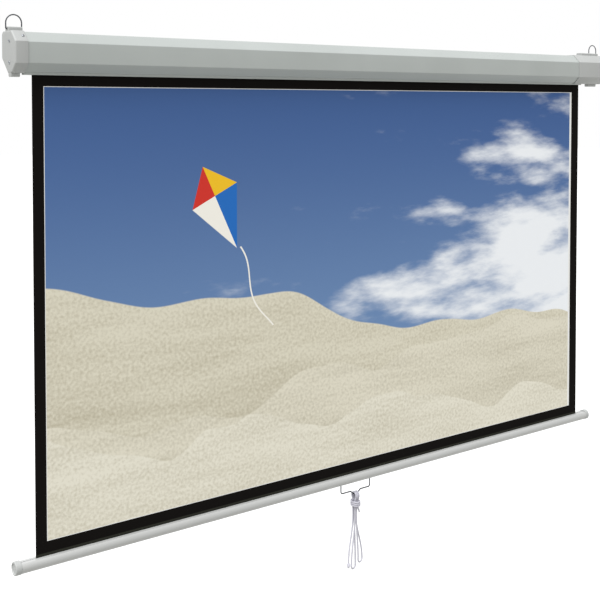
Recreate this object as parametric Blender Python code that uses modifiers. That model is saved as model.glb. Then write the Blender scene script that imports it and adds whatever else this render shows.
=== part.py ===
"""Pull-down projection screen with a spring roller, modelled piece by piece.

X runs along the case, Y points back to the wall and Z points up, in metres. The origin
lies on the case's back face, level with the roller and half way along the sheet.
The screen is shown pulled down, with the pawls of its lock lifted clear of the notches.
"""
import math

import bmesh
import bpy
from mathutils import Matrix, Vector

# Picture and sheet
PICTURE_WIDTH = 1.860
PICTURE_ASPECT = 16 / 9
SIDE_BORDER = 0.0318
TOP_BORDER = 0.025
BOTTOM_BORDER = 0.0333
SHEET_THICKNESS = 0.0004
SHEET_SETBACK = 0.041

# Fits
GAP = 0.0003
WELD = 0.000001

# Case, a roll-formed C-section
CASE_HEIGHT = 0.090
CASE_DEPTH = 0.074
CASE_STEEL = 0.001
FRONT_TOP_CHAMFER = 0.023
FRONT_LOW_CHAMFER = 0.0198
BACK_TOP_CHAMFER = 0.005
BACK_LOW_CHAMFER = 0.032
CASE_BEND = 0.0016
LIP_DROP = 0.006
HEM_GAP = 0.0005
HEM_RETURN = 0.003
SLOT_FRONT = 0.0055
SLOT_BACK = 0.0035

# End caps, measured from the sheet's edges and from each cap's outer face
LEFT_END_ROOM = 0.0522
RIGHT_END_ROOM = 0.1052
LEFT_CAP_WIDTH = 0.0305
RIGHT_CAP_WIDTH = 0.143
CAP_WALL = 0.002
CAP_END_WALL = 0.003
CAP_CROWN = 0.0036
CASE_INSET = 0.0185
LIP_TO_CAP = 0.001
LIP_END_ROOM = 0.005

# Hanger boss, inner block and stop boss on the caps
BOSS_HEIGHT = 0.009
BOSS_WIDTH = 0.022
BOSS_LENGTH = 0.032
BOSS_INSET = 0.001
BOSS_ROUND = 0.003
BLOCK_START = 0.039
BLOCK_LENGTH = 0.0477
STOP_DROP = 0.0087
STOP_WIDTH = 0.016
LEFT_STOP_START = 0.001
LEFT_STOP_LENGTH = 0.021
RIGHT_STOP_START = 0.024
RIGHT_STOP_LENGTH = 0.039

# Wire hangers
BAIL_WIRE = 0.0015
BAIL_RISE = 0.0325
BAIL_SIDE_GAP = 0.0006
BAIL_FOOT = 0.0085
BAIL_BEND = 0.003
BAIL_HOLE_DEPTH = 0.0075

# End brackets, pressed pans that plug into the case
BRACKET_PLATE = 0.002
BRACKET_RIM = 0.0015
BRACKET_DEPTH = 0.026

# Screws
SCREW_SHANK = 0.00175
SCREW_HEAD = 0.0035
SCREW_HEAD_HEIGHT = 0.0022
END_SCREW_SETBACK = 0.042
END_SCREW_SPREAD = 0.024
END_SCREW_LENGTH = 0.0085
CHAMFER_SCREW_FROM_END = 0.0228
CHAMFER_SCREW_LENGTH = 0.0085

# Roller
TUBE_RADIUS = 0.01575
TUBE_WALL = 0.0012
TUBE_OVERHANG = 0.010
WRAP_THICKNESS = 0.001
PLUG_FLANGE = 0.0035
PLUG_SPIGOT = 0.030

# Shafts and bearings
SHAFT_RADIUS = 0.004
IDLER_PIN_REACH = 0.024
BUSH_RADIUS = 0.007
BUSH_FLANGE_RADIUS = 0.010
BUSH_FLANGE = 0.002
BUSH_TO_PLUG = 0.006
SPINDLE_FLAT = 0.005
SPINDLE_FLAT_LENGTH = 0.012
WASHER_THICKNESS = 0.0006
WASHER_RADIUS = 0.008
CROSS_PIN_RADIUS = 0.0012

# Automatic lock
RATCHET_RADIUS = 0.0095
RATCHET_ROOT = 0.0074
RATCHET_TEETH = 4
RATCHET_NOTCH = math.radians(30)
RATCHET_RAMP = math.radians(14)
RATCHET_THICKNESS = 0.006
RATCHET_HUB_RADIUS = 0.007
RATCHET_HUB = 0.006
PAWL_PIVOT_CIRCLE = 0.0126
PAWL_THICKNESS = 0.005
PAWL_ARM_ANGLE = math.radians(38)
PAWL_ARM_CIRCLE = 0.0124
PAWL_HALF_WIDTH = 0.001
PAWL_EYE_RADIUS = 0.0023
PAWL_NOSE = 0.0013
PAWL_PIN_RADIUS = 0.0012
PAWL_PIN_HEAD = 0.0010
PAWL_PIN_HEAD_RADIUS = 0.0022
PAWL_PIN_SEAT = 0.0025

# Lifting spring
SPRING_WIRE = 0.0009
SPRING_RADIUS = 0.0096
SPRING_TURNS = 24
SPRING_POINTS = 10
SPRING_LENGTH = 0.270
SPRING_SPIGOT_RADIUS = 0.0077
SPRING_SPIGOT = 0.018
HUB_FLANGE_RADIUS = 0.0135
HUB_FLANGE = 0.014
ANCHOR_LENGTH = 0.028

# Weight bar
BAR_RADIUS = 0.01525
BAR_WALL = 0.0018
BAR_FLAT = 0.011
BAR_OVERHANG = 0.0382
BAR_MOUTH = 0.002
BAR_CHANNEL_RADIUS = 0.0035
BAR_LIP = 0.0015
ROD_RADIUS = 0.0027
BAR_PLUG_RADIUS = 0.016
BAR_PLUG_LENGTH = 0.014
BAR_PLUG_EDGE = 0.0017
BAR_PLUG_DISH_RADIUS = 0.0115
BAR_PLUG_DISH = 0.002
BAR_PLUG_SPIGOT = 0.016

# Pull bracket, hung in two slots of the bar
BRACKET_WIRE = 0.0018
BRACKET_OFFSET = -0.006
BRACKET_WIDTH = 0.106
BRACKET_DROP = 0.024
BRACKET_FOOT = 0.012
BRACKET_BEND = 0.003
BRACKET_CORNER = 0.006
DIP_WIDTH = 0.036
DIP_FLOOR = 0.014
DIP_DEPTH = 0.009
DIP_BEND = 0.003
BRACKET_SLOT_LENGTH = 0.0106
BRACKET_SLOT_CLEARANCE = 0.0004

# Pull cord, a hank over the bracket, and its tie
CORD_RADIUS = 0.0023
CORD_ARCH = 0.0092
CORD_PITCH = 0.0052
CORD_NARROW = 0.0045
CORD_LOW_DEPTH = 0.0027
CORD_S_BEND = 0.016
CORD_WAIST = 0.060
SHORT_WAIST_SHARE = 0.68
CORD_STRAND_TOPS = (-1, 0, 1)
LEFT_LOOP = (-0.0167, 0.002)
RIGHT_LOOP = (0.008, 0.0267)
LEFT_LOOP_DROP = 0.214
RIGHT_LOOP_DROP = 0.201
TAIL_DROP = 0.196
TAIL_SPREAD = -0.023
SHORT_TAIL_DROP = 0.056
SHORT_TAIL_SPREAD = 0.012
TIE_RADIUS = 0.0125
TIE_TURNS = 3
TIE_PITCH = 0.0052
TIE_DROP = 0.0190
TIE_POINTS = 12
LEAST_CORD_GAP = 0.0004

ROUND_STEPS = 32
TURN = 2 * math.pi

# Places that follow from the sizes
sheet_half = PICTURE_WIDTH / 2 + SIDE_BORDER
case_top = CASE_HEIGHT / 2
case_bottom = -CASE_HEIGHT / 2
lip_bottom = case_bottom - LIP_DROP
sheet_y = -SHEET_SETBACK
picture_top = lip_bottom - TOP_BORDER
picture_bottom = picture_top - PICTURE_WIDTH / PICTURE_ASPECT
bar_top = picture_bottom - BOTTOM_BORDER
bar_z = bar_top - BAR_FLAT
left_face = -sheet_half - LEFT_END_ROOM
right_face = sheet_half + RIGHT_END_ROOM
wrap_inner = TUBE_RADIUS + GAP
wrap_outer = wrap_inner + WRAP_THICKNESS
roller_y = sheet_y + SHEET_THICKNESS / 2 + GAP + wrap_outer
tube_end = sheet_half + TUBE_OVERHANG
lip_fold = 1.5 * CASE_STEEL + HEM_GAP
front_lip = sheet_y - SLOT_FRONT - lip_fold
rear_lip = sheet_y + SLOT_BACK + lip_fold
tube_bore = TUBE_RADIUS - TUBE_WALL
shaft_bore = SHAFT_RADIUS + GAP
channel_z = bar_z + BAR_FLAT - BAR_LIP - BAR_CHANNEL_RADIUS
hollow_top = BAR_FLAT - BAR_LIP - 2 * BAR_CHANNEL_RADIUS - BAR_LIP
hollow_radius = BAR_RADIUS - BAR_WALL
bracket_pivot_z = bar_z - hollow_radius + BRACKET_WIRE + GAP
bracket_low_z = bar_z - BAR_RADIUS - BRACKET_DROP
dip_z = bracket_low_z - DIP_DEPTH
boss_y = (-CASE_DEPTH + FRONT_TOP_CHAMFER - BACK_TOP_CHAMFER) / 2
boss_top = case_top + GAP + CAP_WALL + BOSS_HEIGHT
bail_pivot_z = case_top + GAP + CAP_WALL + BOSS_HEIGHT * 0.42


def linear(value):
    """Turns one sRGB value of 0 to 255 into a linear one of 0 to 1."""
    value /= 255
    return value / 12.92 if value <= 0.04045 else ((value + 0.055) / 1.055) ** 2.4


def new_material(name, colour, roughness, metallic=0.0):
    """A Principled material of one sRGB colour."""
    made = bpy.data.materials.new(name)
    made.use_nodes = True
    shader = made.node_tree.nodes["Principled BSDF"]
    shader.inputs["Base Color"].default_value = (*(linear(part) for part in colour), 1)
    shader.inputs["Roughness"].default_value = roughness
    shader.inputs["Metallic"].default_value = metallic
    made.diffuse_color = shader.inputs["Base Color"].default_value
    return made


def new_collection(name):
    """A collection under the scene's own."""
    made = bpy.data.collections.new(name)
    bpy.context.scene.collection.children.link(made)
    return made


for old in list(bpy.data.objects):
    bpy.data.objects.remove(old, do_unlink=True)

screen = new_collection("projection_screen")
cutters = new_collection("cutters")

powder_coat = new_material("powder_coated_steel", (198, 201, 202), 0.45)
cap_plastic = new_material("cap_abs", (205, 206, 206), 0.5)
zinc_steel = new_material("zinc_plated_steel", (150, 152, 155), 0.35, 1.0)
spring_steel = new_material("spring_steel", (92, 94, 98), 0.4, 1.0)
white_nylon = new_material("white_nylon", (228, 228, 222), 0.5)
bar_aluminium = new_material("painted_aluminium", (206, 206, 206), 0.4)
white_fabric = new_material("matt_white_fabric", (240, 240, 240), 0.9)
black_border = new_material("black_border", (27, 25, 24), 0.8)
white_cord = new_material("white_cord", (226, 225, 232), 0.85)


def place(name, data, location=(0, 0, 0), surface=None):
    """Links a new object of the screen at its place."""
    made = bpy.data.objects.new(name, data)
    made.location = location
    screen.objects.link(made)
    if surface:
        data.materials.append(surface)
    return made


def as_cutter(piece):
    """Moves an object to the cutters, drawn as wire and left out of renders."""
    for holder in list(piece.users_collection):
        holder.objects.unlink(piece)
    cutters.objects.link(piece)
    piece.hide_render = True
    piece.display_type = "WIRE"
    return piece


def combine(piece, others, operation):
    """Adds one exact Boolean for each other object, which becomes a cutter."""
    for other in others:
        as_cutter(other)
        step = piece.modifiers.new(other.name, "BOOLEAN")
        step.operation = operation
        step.object = other
        step.solver = "EXACT"
    return piece


def cut(piece, *others):
    return combine(piece, others, "DIFFERENCE")


def join(piece, *others):
    return combine(piece, others, "UNION")


def smooth(piece, angle=math.radians(32)):
    """Shades round faces smooth and keeps edges above the angle sharp."""
    piece.data.shade_smooth()
    piece.data.set_sharp_from_angle(angle=angle)
    return piece


def prism(name, outline, low, high, surface=None, origin=(0, 0), axis="X"):
    """An outline pushed from low to high along X, or along Z for axis Z.

    The outline's two values are Y and Z from the origin, or X and Y for axis Z.
    """
    shape = bmesh.new()
    if axis == "X":
        corners = [shape.verts.new((0, u, v)) for u, v in outline]
        step = (high - low, 0, 0)
        location = (low, *origin)
    else:
        corners = [shape.verts.new((u, v, 0)) for u, v in outline]
        step = (0, 0, high - low)
        location = (*origin, low)
    face = shape.faces.new(corners)
    pushed = bmesh.ops.extrude_face_region(shape, geom=[face])["geom"]
    moved = [item for item in pushed if isinstance(item, bmesh.types.BMVert)]
    bmesh.ops.translate(shape, verts=moved, vec=step)
    bmesh.ops.recalc_face_normals(shape, faces=shape.faces)
    mesh = bpy.data.meshes.new(name)
    shape.to_mesh(mesh)
    shape.free()
    return place(name, mesh, location, surface)


def box(name, low, high, surface=None):
    """A box between two corners."""
    shape = bmesh.new()
    bmesh.ops.create_cube(shape, size=1)
    size = Vector(high) - Vector(low)
    bmesh.ops.scale(shape, verts=shape.verts, vec=size)
    mesh = bpy.data.meshes.new(name)
    shape.to_mesh(mesh)
    shape.free()
    return place(name, mesh, (Vector(high) + Vector(low)) / 2, surface)


def turned(name, profile, centre, surface=None, ring=False, towards=1, steps=ROUND_STEPS):
    """A profile of (radius, distance) pairs turned about the X line through the centre.

    Distances run along +X, or along -X for towards -1. A profile goes down its outer
    side, from the largest distance to the smallest, and a ring's profile is closed.
    """
    mesh = bpy.data.meshes.new(name)
    points = [(radius, 0, distance) for radius, distance in profile]
    edges = [(index, index + 1) for index in range(len(points) - 1)]
    if ring:
        edges.append((len(points) - 1, 0))
    mesh.from_pydata(points, edges, [])
    made = place(name, mesh, centre, surface)
    made.rotation_euler = (0, towards * math.pi / 2, 0)
    screw = made.modifiers.new("turn", "SCREW")
    screw.axis = "Z"
    screw.angle = TURN
    screw.steps = steps
    screw.render_steps = steps
    screw.use_merge_vertices = True
    screw.merge_threshold = 0.00001
    screw.use_smooth_shade = False
    return made


def rod(name, start, end, radius, surface=None, steps=ROUND_STEPS):
    """A straight round bar between two points."""
    start, end = Vector(start), Vector(end)
    shape = bmesh.new()
    bmesh.ops.create_cone(
        shape, cap_ends=True, segments=steps, radius1=radius, radius2=radius, depth=(end - start).length
    )
    mesh = bpy.data.meshes.new(name)
    shape.to_mesh(mesh)
    shape.free()
    made = place(name, mesh, (start + end) / 2, surface)
    made.rotation_mode = "QUATERNION"
    made.rotation_quaternion = (end - start).to_track_quat("Z", "Y")
    return made


def wire(name, points, radius, origin, surface, resolution=2):
    """A round wire along world points, with its object's origin where told."""
    data = bpy.data.curves.new(name, "CURVE")
    data.dimensions = "3D"
    data.bevel_depth = radius
    data.bevel_resolution = resolution
    data.use_fill_caps = True
    spline = data.splines.new("POLY")
    spline.points.add(len(points) - 1)
    for target, point in zip(spline.points, points):
        target.co = (*(Vector(point) - Vector(origin)), 1)
        target.radius = 1
    spline.use_smooth = True
    return place(name, data, origin, surface)


def rounded(points, radius, steps=4, closed=False):
    """A path whose corners are arcs of one radius, in two or three dimensions."""
    points = [Vector(point) for point in points]
    count = len(points)
    made = [] if closed else [points[0]]
    for index in range(0 if closed else 1, count if closed else count - 1):
        corner = points[index]
        back = (points[index - 1] - corner).normalized()
        ahead = (points[(index + 1) % count] - corner).normalized()
        opening = back.angle(ahead)
        if radius <= 0 or opening > math.pi - 0.001:
            made.append(corner)
            continue
        reach = radius / math.tan(opening / 2)
        centre = corner + (back + ahead).normalized() * radius / math.sin(opening / 2)
        first = corner + back * reach - centre
        last = corner + ahead * reach - centre
        sweep = math.pi - opening
        for step in range(steps + 1):
            share = step / steps
            spoke = first * math.sin((1 - share) * sweep) + last * math.sin(share * sweep)
            made.append(centre + spoke / math.sin(sweep))
    if not closed:
        made.append(points[-1])
    return made


def offset_path(points, distance):
    """An open flat path moved sideways by a distance, to its left, with mitred corners."""
    points = [Vector(point) for point in points]
    moved = []
    for index, point in enumerate(points):
        ahead = points[min(index + 1, len(points) - 1)] - point
        back = point - points[max(index - 1, 0)]
        ahead = ahead if ahead.length else back
        back = back if back.length else ahead
        normals = [Vector((-side.y, side.x)).normalized() for side in (back, ahead)]
        mid = (normals[0] + normals[1]).normalized()
        moved.append(point + mid * distance / mid.dot(normals[0]))
    return moved


def case_outline(grow=0.0):
    """The eight corners of the case's closed outline in Y and Z, moved outwards by grow.

    They run from the front's lower corner up, over the top and down the back.
    """
    corners = [
        (-CASE_DEPTH, case_bottom + FRONT_LOW_CHAMFER),
        (-CASE_DEPTH, case_top - FRONT_TOP_CHAMFER),
        (-CASE_DEPTH + FRONT_TOP_CHAMFER, case_top),
        (-BACK_TOP_CHAMFER, case_top),
        (0, case_top - BACK_TOP_CHAMFER),
        (0, case_bottom + BACK_LOW_CHAMFER),
        (-BACK_LOW_CHAMFER, case_bottom),
        (-CASE_DEPTH + FRONT_LOW_CHAMFER, case_bottom),
    ]
    wrapped = [corners[-1], *corners, corners[0]]
    return [tuple(point) for point in offset_path(wrapped, grow)[1:-1]]


def rounded_bar(half_width, low, high, radius, flip=False):
    """A block's end view, its two far corners rounded, for a boss above or below."""
    far, near = (low, high) if flip else (high, low)
    corners = rounded(
        [(-half_width, near), (-half_width, far), (half_width, far), (half_width, near)], radius, steps=3
    )
    return [tuple(corner) for corner in corners]


def hem(lip_y, direction):
    """The folded edge of a slot lip, from its return's free end down and round to the lip.

    The points lie on the middle of the steel. The return is on the slot side, which
    direction gives as 1 for +Y.
    """
    radius = (CASE_STEEL + HEM_GAP) / 2
    centre_y = lip_y + direction * radius
    centre_z = lip_bottom + CASE_STEEL / 2 + radius
    arc = [
        (
            centre_y + direction * radius * math.cos(step * math.pi / 4),
            centre_z - radius * math.sin(step * math.pi / 4),
        )
        for step in range(5)
    ]
    return [(lip_y + 2 * direction * radius, centre_z + HEM_RETURN), *arc]


def case_section():
    """The closed outline of the roll-formed steel, from the front lip round to the rear lip."""
    middle = case_outline(-CASE_STEEL / 2)
    floor = case_bottom + CASE_STEEL / 2
    bends = rounded(
        [hem(front_lip, 1)[-1], (front_lip, floor), middle[7], *middle[:7], (rear_lip, floor), hem(rear_lip, -1)[-1]],
        CASE_BEND,
        steps=3,
    )
    path = [*hem(front_lip, 1)[:-1], *bends, *reversed(hem(rear_lip, -1)[:-1])]
    outside = offset_path(path, CASE_STEEL / 2)
    inside = offset_path(path, -CASE_STEEL / 2)
    return [tuple(point) for point in [*outside, *reversed(inside)]]


def inward(side, start, end):
    """Low and high X of a stretch measured inwards from the left (-1) or right (1) end face."""
    face = left_face if side < 0 else right_face
    near, far = face - side * start, face - side * end
    return min(near, far), max(near, far)


# Case shell, its lips cut back where the caps slide over it
case_low = left_face + CASE_INSET
case_high = right_face - CASE_INSET
case_shell = prism("case_shell", case_section(), case_low, case_high, powder_coat)
lip_cut_front = front_lip - CASE_BEND - GAP
lip_cut_back = rear_lip + CASE_BEND + GAP
seam_left = left_face + LEFT_CAP_WIDTH
seam_right = right_face - RIGHT_CAP_WIDTH
for label, low, high in (
    ("left_lip_cut", case_low - CASE_STEEL, seam_left + LIP_TO_CAP),
    ("right_lip_cut", sheet_half + LIP_END_ROOM, case_high + CASE_STEEL),
):
    lip_cut = box(
        label,
        (low, lip_cut_front, lip_bottom - CASE_STEEL),
        (high, lip_cut_back, case_bottom + 1.5 * CASE_STEEL),
    )
    cut(case_shell, lip_cut)
smooth(case_shell)


def screw_solid(name, head_seat, axis, length, surface=None, grow=0.0):
    """A pan-head screw whose head sits at a point and whose shank runs along the axis."""
    axis = Vector(axis).normalized()
    shank = SCREW_SHANK + grow
    head = SCREW_HEAD + grow
    profile = [
        (0, SCREW_HEAD_HEIGHT + grow),
        (head * 0.55, SCREW_HEAD_HEIGHT * 0.9 + grow),
        (head, SCREW_HEAD_HEIGHT * 0.35 + grow),
        (head, GAP - grow),
        (shank, GAP - grow),
        (shank, -length),
        (0, -length),
    ]
    mesh = bpy.data.meshes.new(name)
    edges = [(index, index + 1) for index in range(len(profile) - 1)]
    mesh.from_pydata([(radius, 0, height) for radius, height in profile], edges, [])
    made = place(name, mesh, head_seat, surface)
    made.rotation_mode = "QUATERNION"
    made.rotation_quaternion = (-axis).to_track_quat("Z", "Y")
    screw = made.modifiers.new("turn", "SCREW")
    screw.axis = "Z"
    screw.steps = 20
    screw.render_steps = 20
    screw.use_merge_vertices = True
    screw.merge_threshold = 0.00001
    return made


def screw_places(side):
    """Head seats, axes and lengths of one cap's screws."""
    face = left_face if side < 0 else right_face
    made = [
        ((face, -END_SCREW_SETBACK, spread), (-side, 0, 0), END_SCREW_LENGTH)
        for spread in (END_SCREW_SPREAD, -END_SCREW_SPREAD)
    ]
    if side < 0:
        grown = case_outline(GAP + CAP_WALL)
        middle = (Vector(grown[1]) + Vector(grown[2])) / 2
        seat = (face - side * CHAMFER_SCREW_FROM_END, *middle)
        made.append((seat, (0, 1, -1), CHAMFER_SCREW_LENGTH))
    return made


def screw_holes(side, prefix, piece):
    """Cuts one cap's screw holes through a piece."""
    for index, (seat, axis, length) in enumerate(screw_places(side)):
        axis = Vector(axis).normalized()
        start = Vector(seat) - axis * SCREW_HEAD_HEIGHT
        end = Vector(seat) + axis * (length + 2 * GAP)
        cut(piece, rod(f"{prefix}_screw_hole_{index}", start, end, SCREW_SHANK + GAP, steps=16))


def crowned_cap_body(name, side, width):
    """The cap's outer block, its end face crowned by a rounded edge."""
    low, high = inward(side, 0, width)
    body = prism(name, case_outline(GAP + CAP_WALL), low, high, cap_plastic)
    face_x = 0 if side < 0 else high - low
    weights = body.data.attributes.new("bevel_weight_edge", "FLOAT", "EDGE")
    for edge, weight in zip(body.data.edges, weights.data):
        on_face = all(abs(body.data.vertices[index].co.x - face_x) < WELD for index in edge.vertices)
        weight.value = 1 if on_face else 0
    crown = body.modifiers.new("crown", "BEVEL")
    crown.limit_method = "WEIGHT"
    crown.width = CAP_CROWN
    crown.segments = 4
    return body


def end_cap(name, side, width, stop_start, stop_length, with_block):
    """A moulded cap over the case's end, with its hanger and stop bosses.

    It is open behind, so that the case's own back lies flat against a wall.
    """
    body = crowned_cap_body(name, side, width)
    wall_middle = case_top + GAP + CAP_WALL / 4
    boss = rounded_bar(BOSS_WIDTH / 2, wall_middle, boss_top, BOSS_ROUND)
    parts = [
        prism(f"{name}_boss", boss, *inward(side, BOSS_INSET, BOSS_INSET + BOSS_LENGTH), origin=(boss_y, 0))
    ]
    if with_block:
        stretch = inward(side, BLOCK_START, BLOCK_START + BLOCK_LENGTH)
        parts.append(prism(f"{name}_block", boss, *stretch, origin=(boss_y, 0)))
    floor_middle = case_bottom - GAP - CAP_WALL / 4
    stop_low = case_bottom - GAP - CAP_WALL - STOP_DROP
    stop = rounded_bar(STOP_WIDTH / 2, stop_low, floor_middle, BOSS_ROUND, flip=True)
    stretch = inward(side, stop_start, stop_start + stop_length)
    parts.append(prism(f"{name}_stop", stop, *stretch, origin=(sheet_y, 0)))
    join(body, *parts)
    cavity = prism(f"{name}_cavity", case_outline(GAP), *inward(side, CAP_END_WALL, width + CAP_WALL))
    low, high = inward(side, -CAP_WALL, width + CAP_WALL)
    open_back = box(f"{name}_open_back", (low, -GAP, -CASE_HEIGHT), (high, 2 * CAP_WALL, CASE_HEIGHT))
    cut(body, cavity, open_back)
    for label, start in (
        ("outer", BOSS_INSET - CAP_WALL),
        ("inner", BOSS_INSET + BOSS_LENGTH - BAIL_HOLE_DEPTH),
    ):
        low, high = inward(side, start, start + BAIL_HOLE_DEPTH + CAP_WALL)
        hole = rod(
            f"{name}_{label}_bail_hole",
            (low, boss_y, bail_pivot_z),
            (high, boss_y, bail_pivot_z),
            BAIL_WIRE + GAP,
            steps=16,
        )
        cut(body, hole)
    screw_holes(side, name, body)
    return smooth(body)


# The right cap reaches in past the sheet's edge, so it is notched round the slot's lips
left_cap = end_cap("left_cap", -1, LEFT_CAP_WIDTH, LEFT_STOP_START, LEFT_STOP_LENGTH, False)
right_cap = end_cap("right_cap", 1, RIGHT_CAP_WIDTH, RIGHT_STOP_START, RIGHT_STOP_LENGTH, True)
lip_notch = box(
    "right_cap_lip_notch",
    (seam_right - CASE_STEEL, lip_cut_front, case_bottom - 2 * CAP_WALL),
    (sheet_half + LIP_END_ROOM + LIP_TO_CAP, lip_cut_back, case_bottom),
)
cut(right_cap, lip_notch)
screw_holes(-1, "case", case_shell)


def end_bracket(name, side):
    """A pressed pan that plugs into the case's end, its plate against the cap."""
    start = CAP_END_WALL + GAP
    outer = case_outline(-CASE_STEEL - GAP)
    inner = case_outline(-CASE_STEEL - GAP - BRACKET_RIM)
    pan = prism(name, outer, *inward(side, start, start + BRACKET_DEPTH), zinc_steel)
    hollow = prism(
        f"{name}_hollow", inner, *inward(side, start + BRACKET_PLATE, start + BRACKET_DEPTH + BRACKET_PLATE)
    )
    cut(pan, hollow)
    screw_holes(side, name, pan)
    low, high = inward(side, CAP_END_WALL / 2, start + 2 * BRACKET_PLATE)
    if side < 0:
        axis_hole = rod(f"{name}_bush_hole", (low, roller_y, 0), (high, roller_y, 0), BUSH_RADIUS + GAP)
    else:
        axis_hole = box(
            f"{name}_spindle_hole",
            (low, roller_y - SHAFT_RADIUS - GAP, -SPINDLE_FLAT / 2 - GAP),
            (high, roller_y + SHAFT_RADIUS + GAP, SPINDLE_FLAT / 2 + GAP),
        )
    cut(pan, axis_hole)
    return pan


left_bracket = end_bracket("left_bracket", -1)
right_bracket = end_bracket("right_bracket", 1)
for side, cap in ((-1, "left_cap"), (1, "right_cap")):
    for label, (seat, axis, length) in zip(("upper", "lower", "front"), screw_places(side)):
        smooth(screw_solid(f"{cap}_{label}_screw", seat, axis, length, zinc_steel))


def hanger_bail(name, side):
    """A wire arch whose feet turn in the boss, with its origin on the hinge line."""
    outer_leg = -BAIL_SIDE_GAP - BAIL_WIRE
    inner_leg = BOSS_INSET + BOSS_LENGTH + BAIL_SIDE_GAP + BAIL_WIRE
    face = left_face if side < 0 else right_face
    legs = [face - side * outer_leg, face - side * inner_leg]
    centre = sum(legs) / 2
    half = abs(legs[0] - legs[1]) / 2
    straight = bail_pivot_z + BAIL_RISE - half
    arch = [
        (centre - half * math.cos(step * math.pi / 12), straight + half * math.sin(step * math.pi / 12))
        for step in range(13)
    ]
    foot = BAIL_FOOT
    corners = [(centre - half + foot, bail_pivot_z), (centre - half, bail_pivot_z), arch[0]]
    left_leg = rounded(corners, BAIL_BEND, steps=4)
    right_leg = [(2 * centre - x, z) for x, z in reversed(left_leg)]
    route = [*left_leg[:-1], *arch, *right_leg[1:]]
    points = [(x, boss_y, z) for x, z in route]
    return wire(name, points, BAIL_WIRE, (centre, boss_y, bail_pivot_z), spring_steel)


left_bail = hanger_bail("left_bail", -1)
right_bail = hanger_bail("right_bail", 1)


def ring(name, inner, outer, low, high, surface, steps=ROUND_STEPS):
    """A plain ring on the roller's axis."""
    profile = [(outer, high), (outer, low), (inner, low), (inner, high)]
    return turned(name, profile, (0, roller_y, 0), surface, ring=True, steps=steps)


# Roller
roller_tube = ring("roller_tube", tube_bore, TUBE_RADIUS, -tube_end, tube_end, zinc_steel)
fabric_wraps = ring("fabric_wraps", wrap_inner, wrap_outer, -sheet_half, sheet_half, white_fabric)
plug_radius = tube_bore - GAP
idler_plug = turned(
    "idler_plug",
    [
        (plug_radius, -tube_end - GAP + PLUG_SPIGOT),
        (plug_radius, -tube_end - GAP),
        (TUBE_RADIUS, -tube_end - GAP),
        (TUBE_RADIUS, -tube_end - GAP - PLUG_FLANGE),
        (shaft_bore, -tube_end - GAP - PLUG_FLANGE),
        (shaft_bore, -tube_end - GAP + PLUG_SPIGOT),
    ],
    (0, roller_y, 0),
    white_nylon,
    ring=True,
)
plate_inner = left_face + CAP_END_WALL + GAP + BRACKET_PLATE
plug_face = -tube_end - GAP - PLUG_FLANGE
idler_bush = turned(
    "idler_bush",
    [
        (BUSH_RADIUS, plug_face - BUSH_TO_PLUG),
        (BUSH_RADIUS, plate_inner + GAP + BUSH_FLANGE),
        (BUSH_FLANGE_RADIUS, plate_inner + GAP + BUSH_FLANGE),
        (BUSH_FLANGE_RADIUS, plate_inner + GAP),
        (BUSH_RADIUS, plate_inner + GAP),
        (BUSH_RADIUS, plate_inner - BRACKET_PLATE),
        (shaft_bore, plate_inner - BRACKET_PLATE),
        (shaft_bore, plug_face - BUSH_TO_PLUG),
    ],
    (0, roller_y, 0),
    white_nylon,
    ring=True,
)
idler_pin = rod(
    "idler_pin",
    (plate_inner - BRACKET_PLATE, roller_y, 0),
    (-tube_end + IDLER_PIN_REACH, roller_y, 0),
    SHAFT_RADIUS,
    zinc_steel,
)

# Right-hand bearing and lock, which stand in a row out from the tube's end
drive_face = tube_end + GAP + PLUG_FLANGE
washer_low = drive_face + GAP
ratchet_low = washer_low + WASHER_THICKNESS + GAP
ratchet_high = ratchet_low + RATCHET_THICKNESS
hub_high = ratchet_high + RATCHET_HUB
drive_plug = turned(
    "drive_plug",
    [
        (TUBE_RADIUS, drive_face),
        (TUBE_RADIUS, tube_end + GAP),
        (plug_radius, tube_end + GAP),
        (plug_radius, tube_end + GAP - PLUG_SPIGOT),
        (shaft_bore, tube_end + GAP - PLUG_SPIGOT),
        (shaft_bore, drive_face),
    ],
    (0, roller_y, 0),
    white_nylon,
    ring=True,
)
pawl_angles = (math.pi / 2, 3 * math.pi / 2)


def on_circle(radius, angle):
    """Y and Z of a point round the roller's axis, from it."""
    return radius * math.cos(angle), radius * math.sin(angle)


pin_seat = drive_face - PAWL_PIN_SEAT
for index, angle in enumerate(pawl_angles):
    y, z = on_circle(PAWL_PIVOT_CIRCLE, angle)
    hole = rod(
        f"pawl_pin_hole_{index}",
        (pin_seat - GAP, roller_y + y, z),
        (drive_face + PLUG_FLANGE, roller_y + y, z),
        PAWL_PIN_RADIUS + GAP,
        steps=16,
    )
    cut(drive_plug, hole)


def ratchet_outline():
    """A wheel with notches that its pawls drop into, steep on the side that holds."""
    pitch = TURN / RATCHET_TEETH
    nose = math.atan2(nose_tip.y, nose_tip.x)
    points = []
    for tooth in range(RATCHET_TEETH):
        centre = pawl_angles[0] + nose + tooth * pitch
        for share in (-0.5, 0, 0.5):
            points.append(on_circle(RATCHET_ROOT, centre + share * RATCHET_NOTCH))
        land = pitch - RATCHET_NOTCH - RATCHET_RAMP
        for share in (0, 0.25, 0.5, 0.75, 1):
            points.append(on_circle(RATCHET_RADIUS, centre + RATCHET_NOTCH / 2 + RATCHET_RAMP + share * land))
    return points


# The pawl lies along a line from its pivot to its elbow, then turns in to its nose
pawl_pivot = Vector((PAWL_PIVOT_CIRCLE, 0))
pawl_elbow = Vector(on_circle(PAWL_ARM_CIRCLE, PAWL_ARM_ANGLE))
arm = (pawl_elbow - pawl_pivot).normalized()
nose_way = Vector((-arm.y, arm.x))
nose_tip = pawl_elbow + nose_way * (PAWL_HALF_WIDTH + PAWL_NOSE)


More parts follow.
